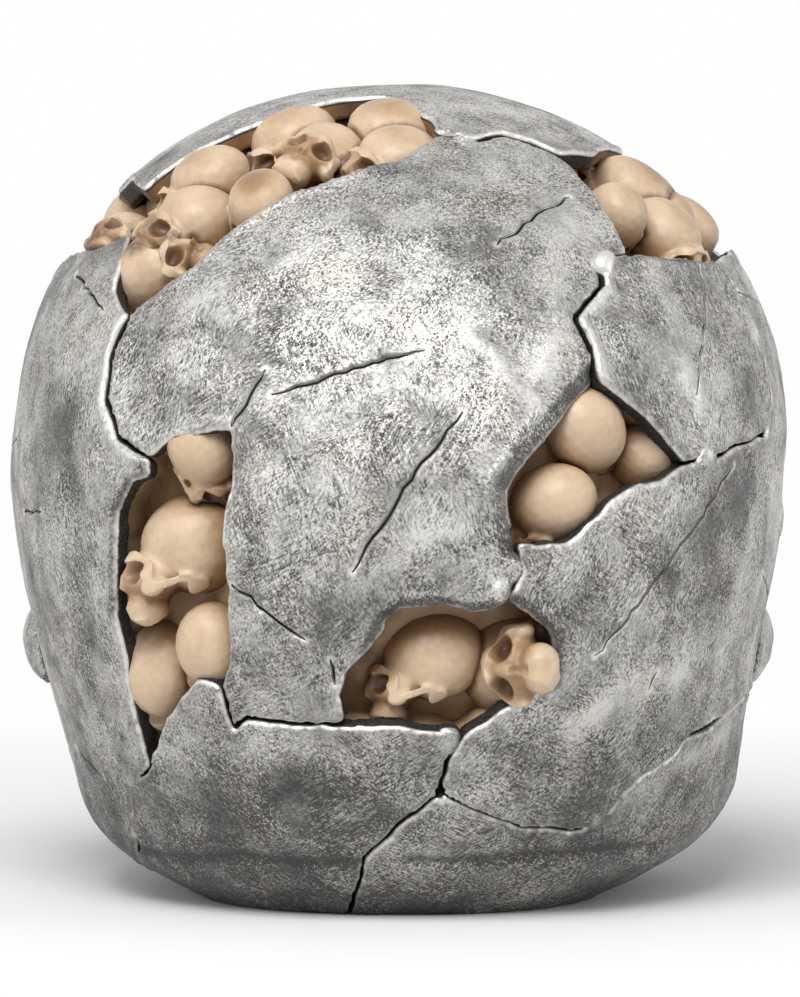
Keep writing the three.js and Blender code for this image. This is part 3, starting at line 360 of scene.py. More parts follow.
def new_object(name, mesh):
    obj = bpy.data.objects.new(name, mesh)
    bpy.context.scene.collection.objects.link(obj)
    return obj


def mesh_of(points, faces):
    """A mesh of points in millimetres."""
    mesh = bpy.data.meshes.new("shape")
    points = [tuple(p * MM) for p in np.asarray(points, float)]
    mesh.from_pydata(points, [], [tuple(map(int, face)) for face in faces])
    mesh.update()
    return mesh


def applied(obj):
    """Bakes the object's modifiers into its mesh."""
    graph = bpy.context.evaluated_depsgraph_get()
    mesh = bpy.data.meshes.new_from_object(obj.evaluated_get(graph))
    obj.modifiers.clear()
    old, obj.data = obj.data, mesh
    bpy.data.meshes.remove(old)
    return obj


def joined_mesh(name, meshes):
    """One object that holds copies of several meshes side by side."""
    points, faces, start = [], [], 0
    for mesh in meshes:
        co = np.empty(len(mesh.vertices) * 3, np.float32)
        mesh.vertices.foreach_get("co", co)
        points.append(co.reshape(-1, 3))
        faces += [tuple(start + i for i in p.vertices) for p in mesh.polygons]
        start += len(mesh.vertices)
    mesh = bpy.data.meshes.new(name)
    mesh.from_pydata(np.concatenate(points).tolist(), [], faces)
    mesh.update()
    return new_object(name, mesh)


def remeshed(obj, voxel):
    """Gives the object an even mesh with cells of that many millimetres."""
    modifier = obj.modifiers.new("even mesh", "REMESH")
    modifier.mode = "VOXEL"
    modifier.voxel_size = voxel * MM
    return applied(obj)


def softened(obj, rounds):
    modifier = obj.modifiers.new("soften", "SMOOTH")
    modifier.factor, modifier.iterations = 0.5, rounds
    return applied(obj)


def boolean(obj, other, operation):
    modifier = obj.modifiers.new("cut", "BOOLEAN")
    modifier.operation = operation
    modifier.solver = "MANIFOLD"
    modifier.object = other
    return applied(obj)


def ball_mesh(middle, radius, squash=(1, 1, 1)):
    """A small ball of metal or bone, in millimetres."""
    mesh = bpy.data.meshes.new("ball")
    shape = bmesh.new()
    bmesh.ops.create_icosphere(shape, subdivisions=3, radius=radius * MM)
    for v in shape.verts:
        v.co = Vector((v.co.x * squash[0], v.co.y * squash[1], v.co.z * squash[2])) + Vector(middle) * MM
    shape.to_mesh(mesh)
    shape.free()
    return mesh


def tube_mesh(path, half_width, half_height, sides=8):
    """A closed tube along points, with upright oval sections."""
    path = np.asarray(path, float)
    outwards = np.array([0, 0, 1.0])
    along = np.gradient(path, axis=0)
    along /= np.maximum(np.linalg.norm(along, axis=1), 1e-9)[:, None]
    up = outwards - along * np.sum(outwards * along, axis=1)[:, None]
    up /= np.maximum(np.linalg.norm(up, axis=1), 1e-9)[:, None]
    aside = np.cross(along, up)
    turns = np.linspace(0, 2 * math.pi, sides, endpoint=False)
    points = (
        path[:, None]
        + aside[:, None] * (np.cos(turns)[None, :, None] * half_width)
        + up[:, None] * (np.sin(turns)[None, :, None] * half_height)
    ).reshape(-1, 3)
    faces = [tuple(reversed(range(sides)))]
    for i in range(len(path) - 1):
        for j in range(sides):
            k = (j + 1) % sides
            faces.append((i * sides + j, i * sides + k, (i + 1) * sides + k, (i + 1) * sides + j))
    faces.append(tuple(range((len(path) - 1) * sides, len(path) * sides)))
    return mesh_of(points, faces)


# The frame's skin is a ball of flat triangles, so each direction sags a little below the smooth surface
def icosahedron_ball(detail):
    """Directions and faces of a ball made from twenty triangles, each divided evenly."""
    t = (1 + math.sqrt(5)) / 2
    corners = np.array([
        (-1, t, 0), (1, t, 0), (-1, -t, 0), (1, -t, 0), (0, -1, t), (0, 1, t),
        (0, -1, -t), (0, 1, -t), (t, 0, -1), (t, 0, 1), (-t, 0, -1), (-t, 0, 1),
    ])
    sides = (
        (0, 11, 5), (0, 5, 1), (0, 1, 7), (0, 7, 10), (0, 10, 11), (1, 5, 9), (5, 11, 4), (11, 10, 2),
        (10, 7, 6), (7, 1, 8), (3, 9, 4), (3, 4, 2), (3, 2, 6), (3, 6, 8), (3, 8, 9), (4, 9, 5),
        (2, 4, 11), (6, 2, 10), (8, 6, 7), (9, 8, 1),
    )
    points, faces = [], []
    rows = detail + 1
    for a, b, c in sides:
        a, b, c = corners[a], corners[b], corners[c]
        index = {}
        for i in range(rows + 1):
            for j in range(rows + 1 - i):
                index[i, j] = len(points)
                points.append((a * (rows - i - j) + b * j + c * i) / rows)
        for i in range(rows):
            for j in range(rows - i):
                faces.append((index[i, j], index[i, j + 1], index[i + 1, j]))
                if j < rows - i - 1:
                    faces.append((index[i, j + 1], index[i + 1, j + 1], index[i + 1, j]))
    points = np.array(points)
    return points / np.linalg.norm(points, axis=1)[:, None], faces


skin_detail = 9
ball_directions, ball_faces = icosahedron_ball(skin_detail)
ball_points = ball_directions * skull_radius(ball_directions)[:, None]
flat_skin = BVHTree.FromPolygons([tuple(p) for p in ball_points], ball_faces)
flat_radii = [flat_skin.ray_cast((0, 0, 0), d)[3] for d in grid_directions]
sag_table = np.array([
    0 if flat is None else full - flat for full, flat in zip(radius_table.ravel(), flat_radii)
]).reshape(radius_table.shape)

box_low, box_high = (np.array(corner) / MM for corner in start_bounds)


def polar(points):
    """Directions and distances of points from the skull's centre."""
    offset = points - centre
    r = np.maximum(np.linalg.norm(offset, axis=1), 1e-6)
    return offset / r[:, None], r


def cast_relief(surface_points):
    """How far the outside of the casting swells or dips there, in millimetres."""
    return waves(surface_points, (0.26, 17, 3.3), (0.12, 7, 9.1), (0.035, 2.4, 5.7))


def edge_wander(surface_points):
    """Sideways wander of every plate's edge, the same for both sides of a crack."""
    return np.stack(
        [waves(surface_points, (0.55, 6.5, 1.7 + 4 * k), (0.28, 2.2, 8.3 + 5 * k)) for k in range(3)], axis=1,
    )


usual_radius = 75.0


def surface_path(view, places, step, jitter=0.0, seed=0):
    """Directions along a line drawn in a view, at even steps on the surface, shaken sideways a little."""
    corners = seen_from(view, places)
    d = [corners[0]]
    for a, b in zip(corners[:-1], corners[1:]):
        length = float(np.linalg.norm(a - b)) * usual_radius
        count = max(int(length / step), 1)
        d += [a + (b - a) * (i + 1) / count for i in range(count)]
    d = np.array(d)
    d /= np.linalg.norm(d, axis=1)[:, None]
    if jitter:
        shake = np.random.default_rng(seed).uniform(-1, 1, (len(d), 3)) * jitter / usual_radius
        shake[0] = shake[-1] = 0
        d = d + shake
        d /= np.linalg.norm(d, axis=1)[:, None]
    return d


def on_skull(d, rise=0.0):
    """Places on the smooth outside of the skull, or above it."""
    return centre + d * (skull_radius(d) + rise)[:, None]


crack_depth = 1.1
cutter_lift = 1.2
crack_bottom = 0.04
thinning_share, end_share = 0.3, 0.5


def groove_mesh(d, half_width, rise):
    """A wedge that cuts a fine crack along directions and thins out at both ends."""
    count = len(d)
    ends = np.minimum(np.arange(count), np.arange(count)[::-1]) / max(count * thinning_share, 1)
    taper = np.clip(end_share + ends, 0, 1)
    base = on_skull(d, rise)
    along = np.gradient(base, axis=0)
    aside = np.cross(along, d)
    aside /= np.maximum(np.linalg.norm(aside, axis=1), 1e-9)[:, None]
    w = (half_width * taper)[:, None]
    low = (crack_depth * taper)[:, None]
    slope = 1 + cutter_lift / crack_depth
    points = np.stack([
        base + aside * w * slope + d * cutter_lift,
        base - aside * w * slope + d * cutter_lift,
        base - aside * crack_bottom - d * low,
        base + aside * crack_bottom - d * low,
    ], axis=1).reshape(-1, 3)
    faces = [(0, 1, 2, 3)]
    for i in range(count - 1):
        for j in range(4):
            k = (j + 1) % 4
            faces.append((i * 4 + j, (i + 1) * 4 + j, (i + 1) * 4 + k, i * 4 + k))
    last = (count - 1) * 4
    faces.append((last + 3, last + 2, last + 1, last))
    return points, faces


# Fine cracks that don't go through: drawn in a view, with the half width of the crack in millimetres
fine_cracks = [
    ("back", 0.42, [(0.256, 0.803), (0.329, 0.83), (0.38, 0.847), (0.445, 0.862)]),
    ("back", 0.4, [(-0.331, 0.613), (-0.213, 0.63), (-0.094, 0.649), (0.068, 0.669)]),
    ("back", 0.55, [(-0.436, 0.572), (-0.4, 0.602), (-0.347, 0.645)]),
    ("back", 0.42, [(-0.12, 0.388), (-0.053, 0.442), (0.014, 0.494), (0.112, 0.558), (0.166, 0.591)]),
    ("back", 0.45, [(-0.437, 0.372), (-0.35, 0.335), (-0.244, 0.301)]),
    ("back", 0.42, [(0.764, 0.785), (0.79, 0.746), (0.79, 0.695), (0.774, 0.632), (0.767, 0.612)]),
    ("back", 0.36, [(0.862, 0.524), (0.795, 0.47), (0.725, 0.42), (0.63, 0.355), (0.504, 0.284)]),
    ("back", 0.36, [(0.664, 0.264), (0.643, 0.241)]),
    ("back", 0.36, [(-0.179, 0.277), (-0.166, 0.244)]),
    ("back", 0.42, [(-0.839, 0.165), (-0.764, 0.127)]),
    ("back", 0.42, [(-0.836, 0.766), (-0.764, 0.718)]),
    ("back", 0.42, [(-0.975, 0.464), (-0.929, 0.465)]),
    ("front", 0.42, [(0.1, 0.84), (0.08, 0.78), (0.14, 0.73), (0.1, 0.69)]),
    ("front", 0.42, [(-0.3, 0.69), (-0.42, 0.72), (-0.6, 0.7)]),
    ("left", 0.42, [(0.1, 0.6), (-0.1, 0.55), (-0.28, 0.57), (-0.42, 0.5)]),
    ("left", 0.42, [(-0.1, 0.55), (-0.14, 0.42), (-0.06, 0.34)]),
    ("right", 0.42, [(0.0, 0.78), (-0.2, 0.74), (-0.42, 0.76)]),
    ("right", 0.42, [(0.0, 0.4), (-0.2, 0.36), (-0.44, 0.4)]),
    ("right", 0.42, [(0.32, 0.86), (0.16, 0.94), (-0.1, 0.97)]),
]
crack_paths = [
    (surface_path(view, places, step=1.3, jitter=0.32, seed=number), half_width)
    for number, (view, half_width, places) in enumerate(fine_cracks)
]

# Beads and curled lips of metal on the torn rims: place in the back view, then radius in millimetres
beads = {
    "left_side_plate": [((-0.691, 0.128), 1.5)],
    "back_centre_plate": [
        ((0.171, 0.934), 1.4), ((0.262, 0.368), 1.5), ((0.3, 0.392), 1.2), ((0.125, 0.173), 1.4),
    ],
    "right_upper_plate": [((0.527, 0.778), 1.5)],
    "right_back_plate": [((0.79, 0.534), 1.4)],
    "lower_right_plate": [((0.506, 0.076), 1.4)],
    "crown_plate": [((0.125, 0.944), 1.3)],
}
bead_sunk, bead_swell = 1.6, 0.9

# Folds of the plates, drawn in the back view: their height (or depth, below zero) and half width. A raised
# fold is also rubbed bright and painted lighter as highlight, a dent painted darker as shade.
folds = {
    "back_centre_plate": [
        ([(0.195, 0.68), (0.244, 0.669), (0.293, 0.628), (0.354, 0.604)], 0.5, 1.5),
        ([(0.43, 0.83), (0.4, 0.76), (0.42, 0.7), (0.38, 0.64)], 0.45, 3.2),
        ([(-0.5, 0.7), (-0.4, 0.66), (-0.3, 0.655)], -0.35, 2.6),
        ([(-0.42, 0.52), (-0.38, 0.43), (-0.39, 0.36)], -0.5, 3.0),
        ([(-0.1, 0.37), (0.02, 0.42), (0.14, 0.44)], 0.35, 3.0),
        ([(-0.69, 0.67), (-0.62, 0.59)], -0.5, 5.0),
    ],
    "right_upper_plate": [
        ([(0.535, 0.785), (0.53, 0.75), (0.465, 0.71), (0.505, 0.668), (0.53, 0.635)], 0.75, 1.6),
        ([(0.64, 0.78), (0.7, 0.72), (0.72, 0.66), (0.78, 0.6)], 0.35, 2.6),
    ],
    "left_side_plate": [
        ([(-0.72, 0.7), (-0.765, 0.62), (-0.745, 0.56), (-0.68, 0.53)], 0.45, 1.8),
        ([(-0.86, 0.6), (-0.83, 0.46), (-0.82, 0.32)], -0.45, 4.5),
    ],
    "right_back_plate": [
        ([(0.6, 0.43), (0.72, 0.37), (0.84, 0.36)], -0.35, 3.4),
        ([(0.45, 0.2), (0.6, 0.24), (0.74, 0.26)], 0.35, 2.8),
    ],
    "lower_left_plate": [
        ([(-0.69, 0.041), (-0.4, 0.03), (-0.05, 0.023), (0.0, 0.022)], -0.6, 1.3),
        ([(-0.22, 0.12), (0.02, 0.06)], -0.4, 4.5),
    ],
    "lower_right_plate": [
        ([(0.02, 0.023), (0.365, 0.033), (0.573, 0.039), (0.664, 0.04)], -0.6, 1.3),
        ([(0.6, 0.1), (0.72, 0.15), (0.85, 0.19)], 0.4, 2.2),
    ],
}

# Edges that are turned in towards an opening, drawn in the back view: how far they drop, and over what width
turned_edges = {
    "back_centre_plate": [
        (
            [(0.514, 0.634), (0.406, 0.574), (0.334, 0.528), (0.282, 0.49), (0.285, 0.457), (0.298, 0.422)],
            1.7, 3.2,
        ),
        (
            [(0.241, 0.342), (0.184, 0.338), (0.107, 0.346), (0.009, 0.343), (-0.037, 0.327), (-0.079, 0.289)],
            1.0, 2.0,
        ),
    ],
    "left_side_plate": [
        ([(-0.439, 0.571), (-0.501, 0.57), (-0.589, 0.559), (-0.664, 0.536), (-0.664, 0.515)], 1.4, 2.6),
        ([(-0.702, 0.499), (-0.731, 0.465), (-0.741, 0.405), (-0.736, 0.342)], 0.6, 1.4),
    ],
    "right_back_plate": [([(0.282, 0.357), (0.339, 0.338), (0.403, 0.307), (0.401, 0.252)], 0.8, 1.8)],
    "right_upper_plate": [([(0.818, 0.778), (0.726, 0.783), (0.591, 0.788)], 0.7, 1.4)],
}

# Where a crack gapes: place in the back view, reach and widening in millimetres
gapes = [((0.8, 0.2), 8.0, 0.75), ((0.88, 0.226), 5.0, 0.5)]
crack_swell = 0.32

# How far each plate lies sunk, as in the frame, and the cell of its even mesh, in millimetres
plates = {
    "back_centre_plate": (0.8, 0.6), "left_side_plate": (0.4, 0.6), "crown_plate": (0, 0.6),
    "right_upper_plate": (0.3, 0.6), "right_back_plate": (0, 0.6), "right_temple_plate": (0.5, 0.6),
    "lower_left_plate": (0.4, 0.6), "lower_right_plate": (0.4, 0.6), "forehead_plate": (0.4, 0.7),
    "left_ear_plate": (0.7, 0.7), "right_ear_plate": (0.7, 0.7), "left_brow_plate": (0, 0.7),
    "right_brow_plate": (0.2, 0.7), "nose_bridge_plate": (0, 0.7), "left_cheek_plate": (0.2, 0.7),
    "right_cheek_plate": (0, 0.7), "palate_plate": (0.2, 0.8),
}


def set_attribute(obj, name, values):
    attribute = obj.data.attributes.get(name) or obj.data.attributes.new(name, "FLOAT", "POINT")
    attribute.data.foreach_set("value", np.asarray(values, np.float32))


def nearest_distance(points, targets, reach):
    """Distance from each point to the nearest target, no more than reach."""
    found = np.full(len(points), float(reach))
    if not len(targets):
        return found
    kd = KDTree(len(targets))
    for i, p in enumerate(targets):
        kd.insert(p, i)
    kd.balance()
    for i, p in enumerate(points):
        found[i] = min(kd.find(p)[2], reach)
    return found


def shade_smooth(obj):
    obj.data.polygons.foreach_set("use_smooth", np.ones(len(obj.data.polygons), bool))
    obj.data.update()


def distance_to_line(points, places):
    """Distance from points of the surface to a line drawn in the back view, in millimetres."""
    line = on_skull(surface_path("back", places, step=0.9))
    nearest = np.full(len(points), 1e9)
    batch = 20000
    for start in range(0, len(points), batch):
        part = points[start:start + batch]
        nearest[start:start + batch] = np.sqrt(((part[:, None] - line[None]) ** 2).sum(2).min(1))
    return nearest


# how much folds and beads count as rubbed; the same value paints highlight on them, and shade in dents
fold_polish_and_light, bead_polish_and_light = 1.3, 0.7
ear_share = 2.5
shoulder_height, shoulder_width = 0.3, 0.9


def plate_relief(node, d):
    """How far the outside of a plate swells or dips, where it is turned in, and where it is rubbed bright, with
    painted highlight on raised folds and beads and painted shade in dents.
    """
    surface = on_skull(d)
    relief, turned, rubbed_and_painted_light = cast_relief(surface - shift), np.zeros(len(d)), np.zeros(len(d))
    for places, high, width in folds.get(node, []):
        fold = high * np.exp(-((distance_to_line(surface, places) / width) ** 2))
        relief += fold
        rubbed_and_painted_light += fold_polish_and_light * fold
    for place, radius in beads.get(node, []):
        away = np.linalg.norm(surface - on_skull(seen_from("back", [place]))[0], axis=1)
        rubbed_and_painted_light += bead_polish_and_light * np.exp(-((away / radius) ** 2))
    if "ear" in node:
        relief = relief * ear_share
    for places, drop, width in turned_edges.get(node, []):
        away = distance_to_line(surface, places)
        inward = np.clip(1 - away / width, 0, 1)
        shoulder = shoulder_height * np.exp(-(((away - width) / shoulder_width) ** 2))
        relief += shoulder - drop * inward ** 1.3
        turned = np.maximum(turned, np.clip(inward * 3, 0, 1))
    return relief, turned, np.clip(rubbed_and_painted_light / 2, -0.5, 0.5)


def rim_distance(points, depth, reach):
    """Distance to the edge of the outside, which is met again a little way down the wall."""
    return nearest_distance(points, points[(depth > 0.5) & (depth < 1.3)], reach)


lip_height, lip_inset, lip_width, lip_depth = 0.28, 1.0, 0.8, 0.6
rim_reach = 5.0
groove_reach = 2.5
plate_objects = []
for node, (sunk, voxel) in plates.items():
    extras = [
        ball_mesh(on_skull(seen_from("back", [place]), -sunk - bead_sunk)[0], radius + bead_swell)
        for place, radius in beads.get(node, [])
    ]
    obj = joined_mesh(node.replace("_plate", "_silver"), [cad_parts[node].data, *extras])
    remeshed(obj, voxel)
    points = coordinates(obj)
    d, r = polar(points)
    sag = on_table(sag_table, d)
    surface = on_skull(d)
    depth = skull_radius(d) - sunk - sag - r
    outer = np.clip(1 - depth / plate_thickness, 0, 1)
    # the walls of the cracks come closer together, except where a crack gapes
    n = normals(obj)
    sideways = n - d * np.sum(n * d, axis=1)[:, None]
    swell = np.full(len(points), crack_swell)
    for place, reach, widening in gapes:
        away = np.linalg.norm(surface - on_skull(seen_from("back", [place]))[0], axis=1)
        swell -= widening * np.exp(-((away / reach) ** 2))
    wander = edge_wander(surface - shift)
    wander -= d * np.sum(wander * d, axis=1)[:, None]
    wander += sideways * swell[:, None]
    # the rims stand up a little all round
    inset = rim_distance(points, depth, 4.0) - lip_inset
    lip = lip_height * np.exp(-((inset / lip_width) ** 2)) * (depth < lip_depth)
    r = r + sag + (plate_relief(node, d)[0] + lip) * outer
    moved = centre + d * r[:, None] + wander
    place_vertices(obj, np.clip(moved, box_low + 0.01, box_high - 0.01))
    # the fine cracks are cut after the folds, so that they are as deep everywhere
    grooves, crack_points = [], [np.empty((0, 3))]
    for path, half_width in crack_paths:
        if nearest_distance(on_skull(path), points, 3.0).min() > groove_reach:
            continue
        rise = plate_relief(node, path)[0] - sunk
        grooves.append(mesh_of(*groove_mesh(path, half_width, rise)))
        line = on_skull(path, rise)
        crack_points += [line[:-1] * (1 - share) + line[1:] * share for share in (0, 0.25, 0.5, 0.75)]
    if grooves:
        crack_cutter = joined_mesh("crack_cutter", grooves)
        boolean(obj, crack_cutter, "DIFFERENCE")
        bpy.data.objects.remove(crack_cutter)
    points = coordinates(obj)
    d, r = polar(points)
    relief, turned, rubbed_and_painted_light = plate_relief(node, d)
    depth = skull_radius(d) - sunk + relief - r
    set_attribute(obj, "depth", np.clip(depth / 2, 0, 1))
    set_attribute(obj, "rim", 1 - rim_distance(points, depth, rim_reach) / rim_reach)
    set_attribute(obj, "turned", turned)
    set_attribute(obj, "rubbed_and_painted_light", rubbed_and_painted_light)
    set_attribute(obj, "crack", 1 - nearest_distance(points, np.concatenate(crack_points), 1.0))
    shade_smooth(obj)
    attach(obj, "root")
    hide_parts(node)
    plate_objects.append(obj)


def feed(tree, socket, value):
    """Gives a socket a number or colour, or what another socket puts out."""
    if isinstance(value, bpy.types.NodeSocket):
        tree.links.new(value, socket)
    else:
        socket.default_value = value


def add_node(tree, kind, inputs=(), **settings):
    node = tree.nodes.new(kind)
    for name, value in settings.items():
        setattr(node, name, value)
    for name, value in dict(inputs).items():
        feed(tree, node.inputs[name], value)
    return node


def new_group(name, *outputs):
    """A node group that puts out a colour, if it is named Color, and numbers."""
    tree = bpy.data.node_groups.new(name, "ShaderNodeTree")
    for output in outputs:
        kind = "NodeSocketColor" if output == "Color" else "NodeSocketFloat"
        tree.interface.new_socket(output, in_out="OUTPUT", socket_type=kind)
    return tree, tree.nodes.new("NodeGroupOutput").inputs


def ramp(tree, value, *stops):
    """A colour ramp through (position, grey or colour) stops."""
    node = tree.nodes.new("ShaderNodeValToRGB")
    elements = node.color_ramp.elements
    while len(elements) < len(stops):
        elements.new(0.5)
    for element, (position, colour) in zip(elements, stops):
        element.position = position
        element.color = (*colour, 1) if isinstance(colour, tuple) else (colour, colour, colour, 1)
    tree.links.new(value, node.inputs[0])
    return node.outputs[0]


def maths(tree, operation, a, b, clamp=False):
    node = tree.nodes.new("ShaderNodeMath")
    node.operation = operation
    node.use_clamp = clamp
    feed(tree, node.inputs[0], a)
    feed(tree, node.inputs[1], b)
    return node.outputs[0]


def sums_in(tree):
    """Short names for a group's sums: plus, times, and a share of how far a value is from a half."""

    def plus(*values):
        total = values[0]
        for value in values[1:]:
            total = maths(tree, "ADD", total, value)
        return total

    def times(value, share):
        return maths(tree, "MULTIPLY", value, share)

    def about_zero(value, share):
        return times(maths(tree, "SUBTRACT", value, 0.5), share)

    return plus, times, about_zero


def mixed(tree, factor, a, b, blend="MIX"):
    node = tree.nodes.new("ShaderNodeMix")
    node.data_type = "RGBA"
    node.blend_type = blend
    feed(tree, node.inputs[0], factor)
    for socket, colour in ((node.inputs[6], a), (node.inputs[7], b)):
        feed(tree, socket, (*colour, 1) if isinstance(colour, tuple) else colour)
    return node.outputs[2]


def in_millimetres(tree):
    """The place on the object, in millimetres."""
    place = tree.nodes.new("ShaderNodeTexCoord").outputs["Object"]
    to_millimetres = (1 / MM,) * 3
    scaled = add_node(tree, "ShaderNodeVectorMath", {0: place, 1: to_millimetres}, operation="MULTIPLY")
    return scaled.outputs[0]


def noise(tree, place, scale, detail, roughness, distortion=0.0, stretch=None, turn=None):
    """Noise with scale waves to the millimetre. Stretch is waves along each axis, after a turn."""
    if stretch:
        place = add_node(
            tree, "ShaderNodeMapping",
            {"Vector": place, "Rotation": turn, "Scale": tuple(1 / share for share in stretch)},
            vector_type="TEXTURE",
        ).outputs[0]
    node = add_node(
        tree, "ShaderNodeTexNoise",
        {"Vector": place, "Scale": scale, "Detail": detail, "Roughness": roughness, "Distortion": distortion},
    )
    return node.outputs["Fac"]


def attribute(tree, name):
    return add_node(tree, "ShaderNodeAttribute", attribute_name=name).outputs["Fac"]


def worn_silver_with_painted_light():
    """Brushed silver with black wash in its scratches and pits, deepened in the pits and cracks with painted
    shade; painted shade darkens dents and the lowest parts, and painted highlight lightens the rims, raised
    folds and beads.
    """
    tree, out = new_group("worn silver with painted light", "Color", "Roughness", "Metal", "Height")
    plus, times, about_zero = sums_in(tree)
    place = in_millimetres(tree)
    depth, rim, turned, rubbed_and_painted_light, crack = (
        attribute(tree, name) for name in ("depth", "rim", "turned", "rubbed_and_painted_light", "crack")
    )
    cloud = noise(tree, place, 0.05, 3, 0.55)
    patches = noise(tree, place, 0.17, 4, 0.6)
    grain = noise(tree, place, 1.9, 4, 0.7)
    # short brush strokes lie in every direction, each set where the hand went that way
    strokes = None
    for turn, stretch, spread in (
        ((0, 0.45, 0.5), (0.55, 3.2, 3.2), 0.11), ((0, 1.2, -0.5), (0.5, 2.9, 2.9), 0.13),
        ((0, 2.1, 0.4), (0.55, 3.3, 3.3), 0.1), ((0, -0.5, -0.4), (0.5, 3.1, 3.1), 0.12),
    ):
        line = about_zero(noise(tree, place, 1.0, 3, 0.6, stretch=stretch, turn=turn), 1.0)
        where = ramp(tree, noise(tree, place, spread, 2, 0.5), (0.42, 0.1), (0.58, 1.0))
        line = times(line, where)
        strokes = line if strokes is None else plus(strokes, line)
    long_lines = noise(tree, place, 1.0, 4, 0.7, stretch=(0.07, 2.4, 2.4), turn=(0.2, 0.9, 0.5))
    scratches = ramp(tree, long_lines, (0.3, 1.0), (0.4, 0.0))
    # the wash is left heavier in patches. Low down the metal is painted darker, as shade, and it is darker where
    # an edge is turned in
    low_shade_below = 36.0
    level = add_node(tree, "ShaderNodeSeparateXYZ", {0: place}).outputs["Z"]
    # painted shade: the share below that height darkens the metal towards the bottom
    low = maths(tree, "MAXIMUM", times(maths(tree, "SUBTRACT", low_shade_below, level), 1 / low_shade_below), 0.0)
    heavy_wash_and_low_shade = ramp(tree, plus(times(patches, 0.6), times(cloud, 0.4), times(low, 0.1)), (0.44, 0.0), (0.6, 1.0))
    # handling has polished the strokes away along the rims and on the folds
    polish = maths(tree, "MAXIMUM", ramp(tree, rim, (0.6, 0.0), (0.84, 0.75)), times(rubbed_and_painted_light, 1.5))
    rough = maths(tree, "SUBTRACT", 1.0, polish, clamp=True)
    strokes, grain = times(strokes, rough), times(maths(tree, "SUBTRACT", grain, 0.5), rough)
    specks = times(ramp(tree, noise(tree, place, 1.1, 6, 0.8), (0.57, 0.0), (0.64, 1.0)), rough)
    # the tone takes painted shade low down, and the rubbed value adds painted highlight on raised folds and
    # beads and painted shade in dents
    tone = plus(
        0.62, times(strokes, plus(1.0, times(heavy_wash_and_low_shade, 0.7))), times(grain, 0.6), about_zero(cloud, 1.3),
        times(heavy_wash_and_low_shade, -0.2), times(low, -0.2), times(turned, -0.2), times(scratches, -0.2), times(rubbed_and_painted_light, 0.58),
        times(times(specks, plus(0.25, heavy_wash_and_low_shade)), -0.35),
    )
    # cracks and torn walls are filled with black wash, deepened there with painted shade, and the rims around
    # them are worn bright and also given a painted highlight
    below = ramp(tree, depth, (0.05, 0.0), (0.14, 1.0))
    crack_wash_and_shade = times(ramp(tree, crack, (0.25, 0.0), (0.5, 1.0)), below)
    pit_wash_and_shade = maths(tree, "MAXIMUM", ramp(tree, depth, (0.2, 0.0), (0.36, 1.0)), crack_wash_and_shade)
    # the rims are worn bright and given a painted highlight
    worn_rim_and_highlight = times(ramp(tree, rim, (0.76, 0.0), (0.9, 1.0)), maths(tree, "SUBTRACT", 1.0, pit_wash_and_shade))
    tone = maths(tree, "ADD", tone, times(worn_rim_and_highlight, 0.42), clamp=True)
    metal_colour = ramp(
        tree, tone, (0.12, (0.05, 0.049, 0.047)), (0.34, (0.14, 0.136, 0.13)), (0.56, (0.35, 0.342, 0.328)),
        (0.84, (0.64, 0.628, 0.605)),
    )
    warm = ramp(tree, noise(tree, place, 0.11, 3, 0.6), (0.54, 0.0), (0.66, 0.4))
    metal_colour = mixed(tree, warm, metal_colour, (1.0, 0.9, 0.78), blend="MULTIPLY")
    crumbs = noise(tree, place, 1.6, 5, 0.75)
    # near black in the pits and cracks: black wash, deepened with painted shade
    crust_and_shade = ramp(tree, crumbs, (0.5, (0.014, 0.013, 0.012)), (0.68, (0.085, 0.08, 0.074)))
    # filler runs up the inside of a plate wherever bones lie close to it
    filler = times(attribute(tree, "filled"), ramp(tree, depth, (0.42, 0.0), (0.55, 1.0)))
    wall = mixed(tree, filler, crust_and_shade, (0.3, 0.17, 0.08))
    feed(tree, out["Color"], mixed(tree, pit_wash_and_shade, metal_colour, wall))
    dull = maths(tree, "MAXIMUM", pit_wash_and_shade, maths(tree, "SUBTRACT", 1.0, tone))
    feed(tree, out["Roughness"], plus(0.34, times(dull, 0.34), times(grain, 0.06)))
    feed(tree, out["Metal"], maths(tree, "SUBTRACT", 0.94, times(dull, 0.7), clamp=True))
    feed(tree, out["Height"], plus(
        times(strokes, 0.9), times(patches, 0.5), times(grain, 0.4), times(specks, -0.4), times(scratches, -0.3),
    ))
    return tree


def new_material(name, group, bump, reach, values=()):
    """A material whose look comes from a group and its values, with a bump of that many millimetres."""
    material = bpy.data.materials.new(name)
    material.use_nodes = True
    tree = material.node_tree
    shader = tree.nodes["Principled BSDF"]
    look = tree.nodes.new("ShaderNodeGroup")
    look.node_tree = group
    for socket, value in dict(values).items():
        look.inputs[socket].default_value = value
    for output, socket in (("Color", "Base Color"), ("Roughness", "Roughness"), ("Metal", "Metallic")):
        if output in look.outputs:
            tree.links.new(look.outputs[output], shader.inputs[socket])
    relief = add_node(tree, "ShaderNodeBump", {
        "Strength": bump, "Distance": reach * MM, "Height": look.outputs["Height"],
    })
    tree.links.new(relief.outputs[0], shader.inputs["Normal"])
    return material


def dress(obj, material):
    obj.data.materials.clear()
    obj.data.materials.append(material)
    obj.data.polygons.foreach_set("material_index", np.zeros(len(obj.data.polygons), np.int32))


silver = new_material("antique silver", worn_silver_with_painted_light(), bump=0.6, reach=0.16)
for obj in plate_objects:
    dress(obj, silver)


# ---------------------------------------------------------------------------------------------------
# Core. One cast resin filling in dull brown ivory, hollowed behind the openings. Its hollows are lumpy, as
# if more bones lay deeper in them, and the filling is painted darker the deeper it lies, as shade.
# ---------------------------------------------------------------------------------------------------

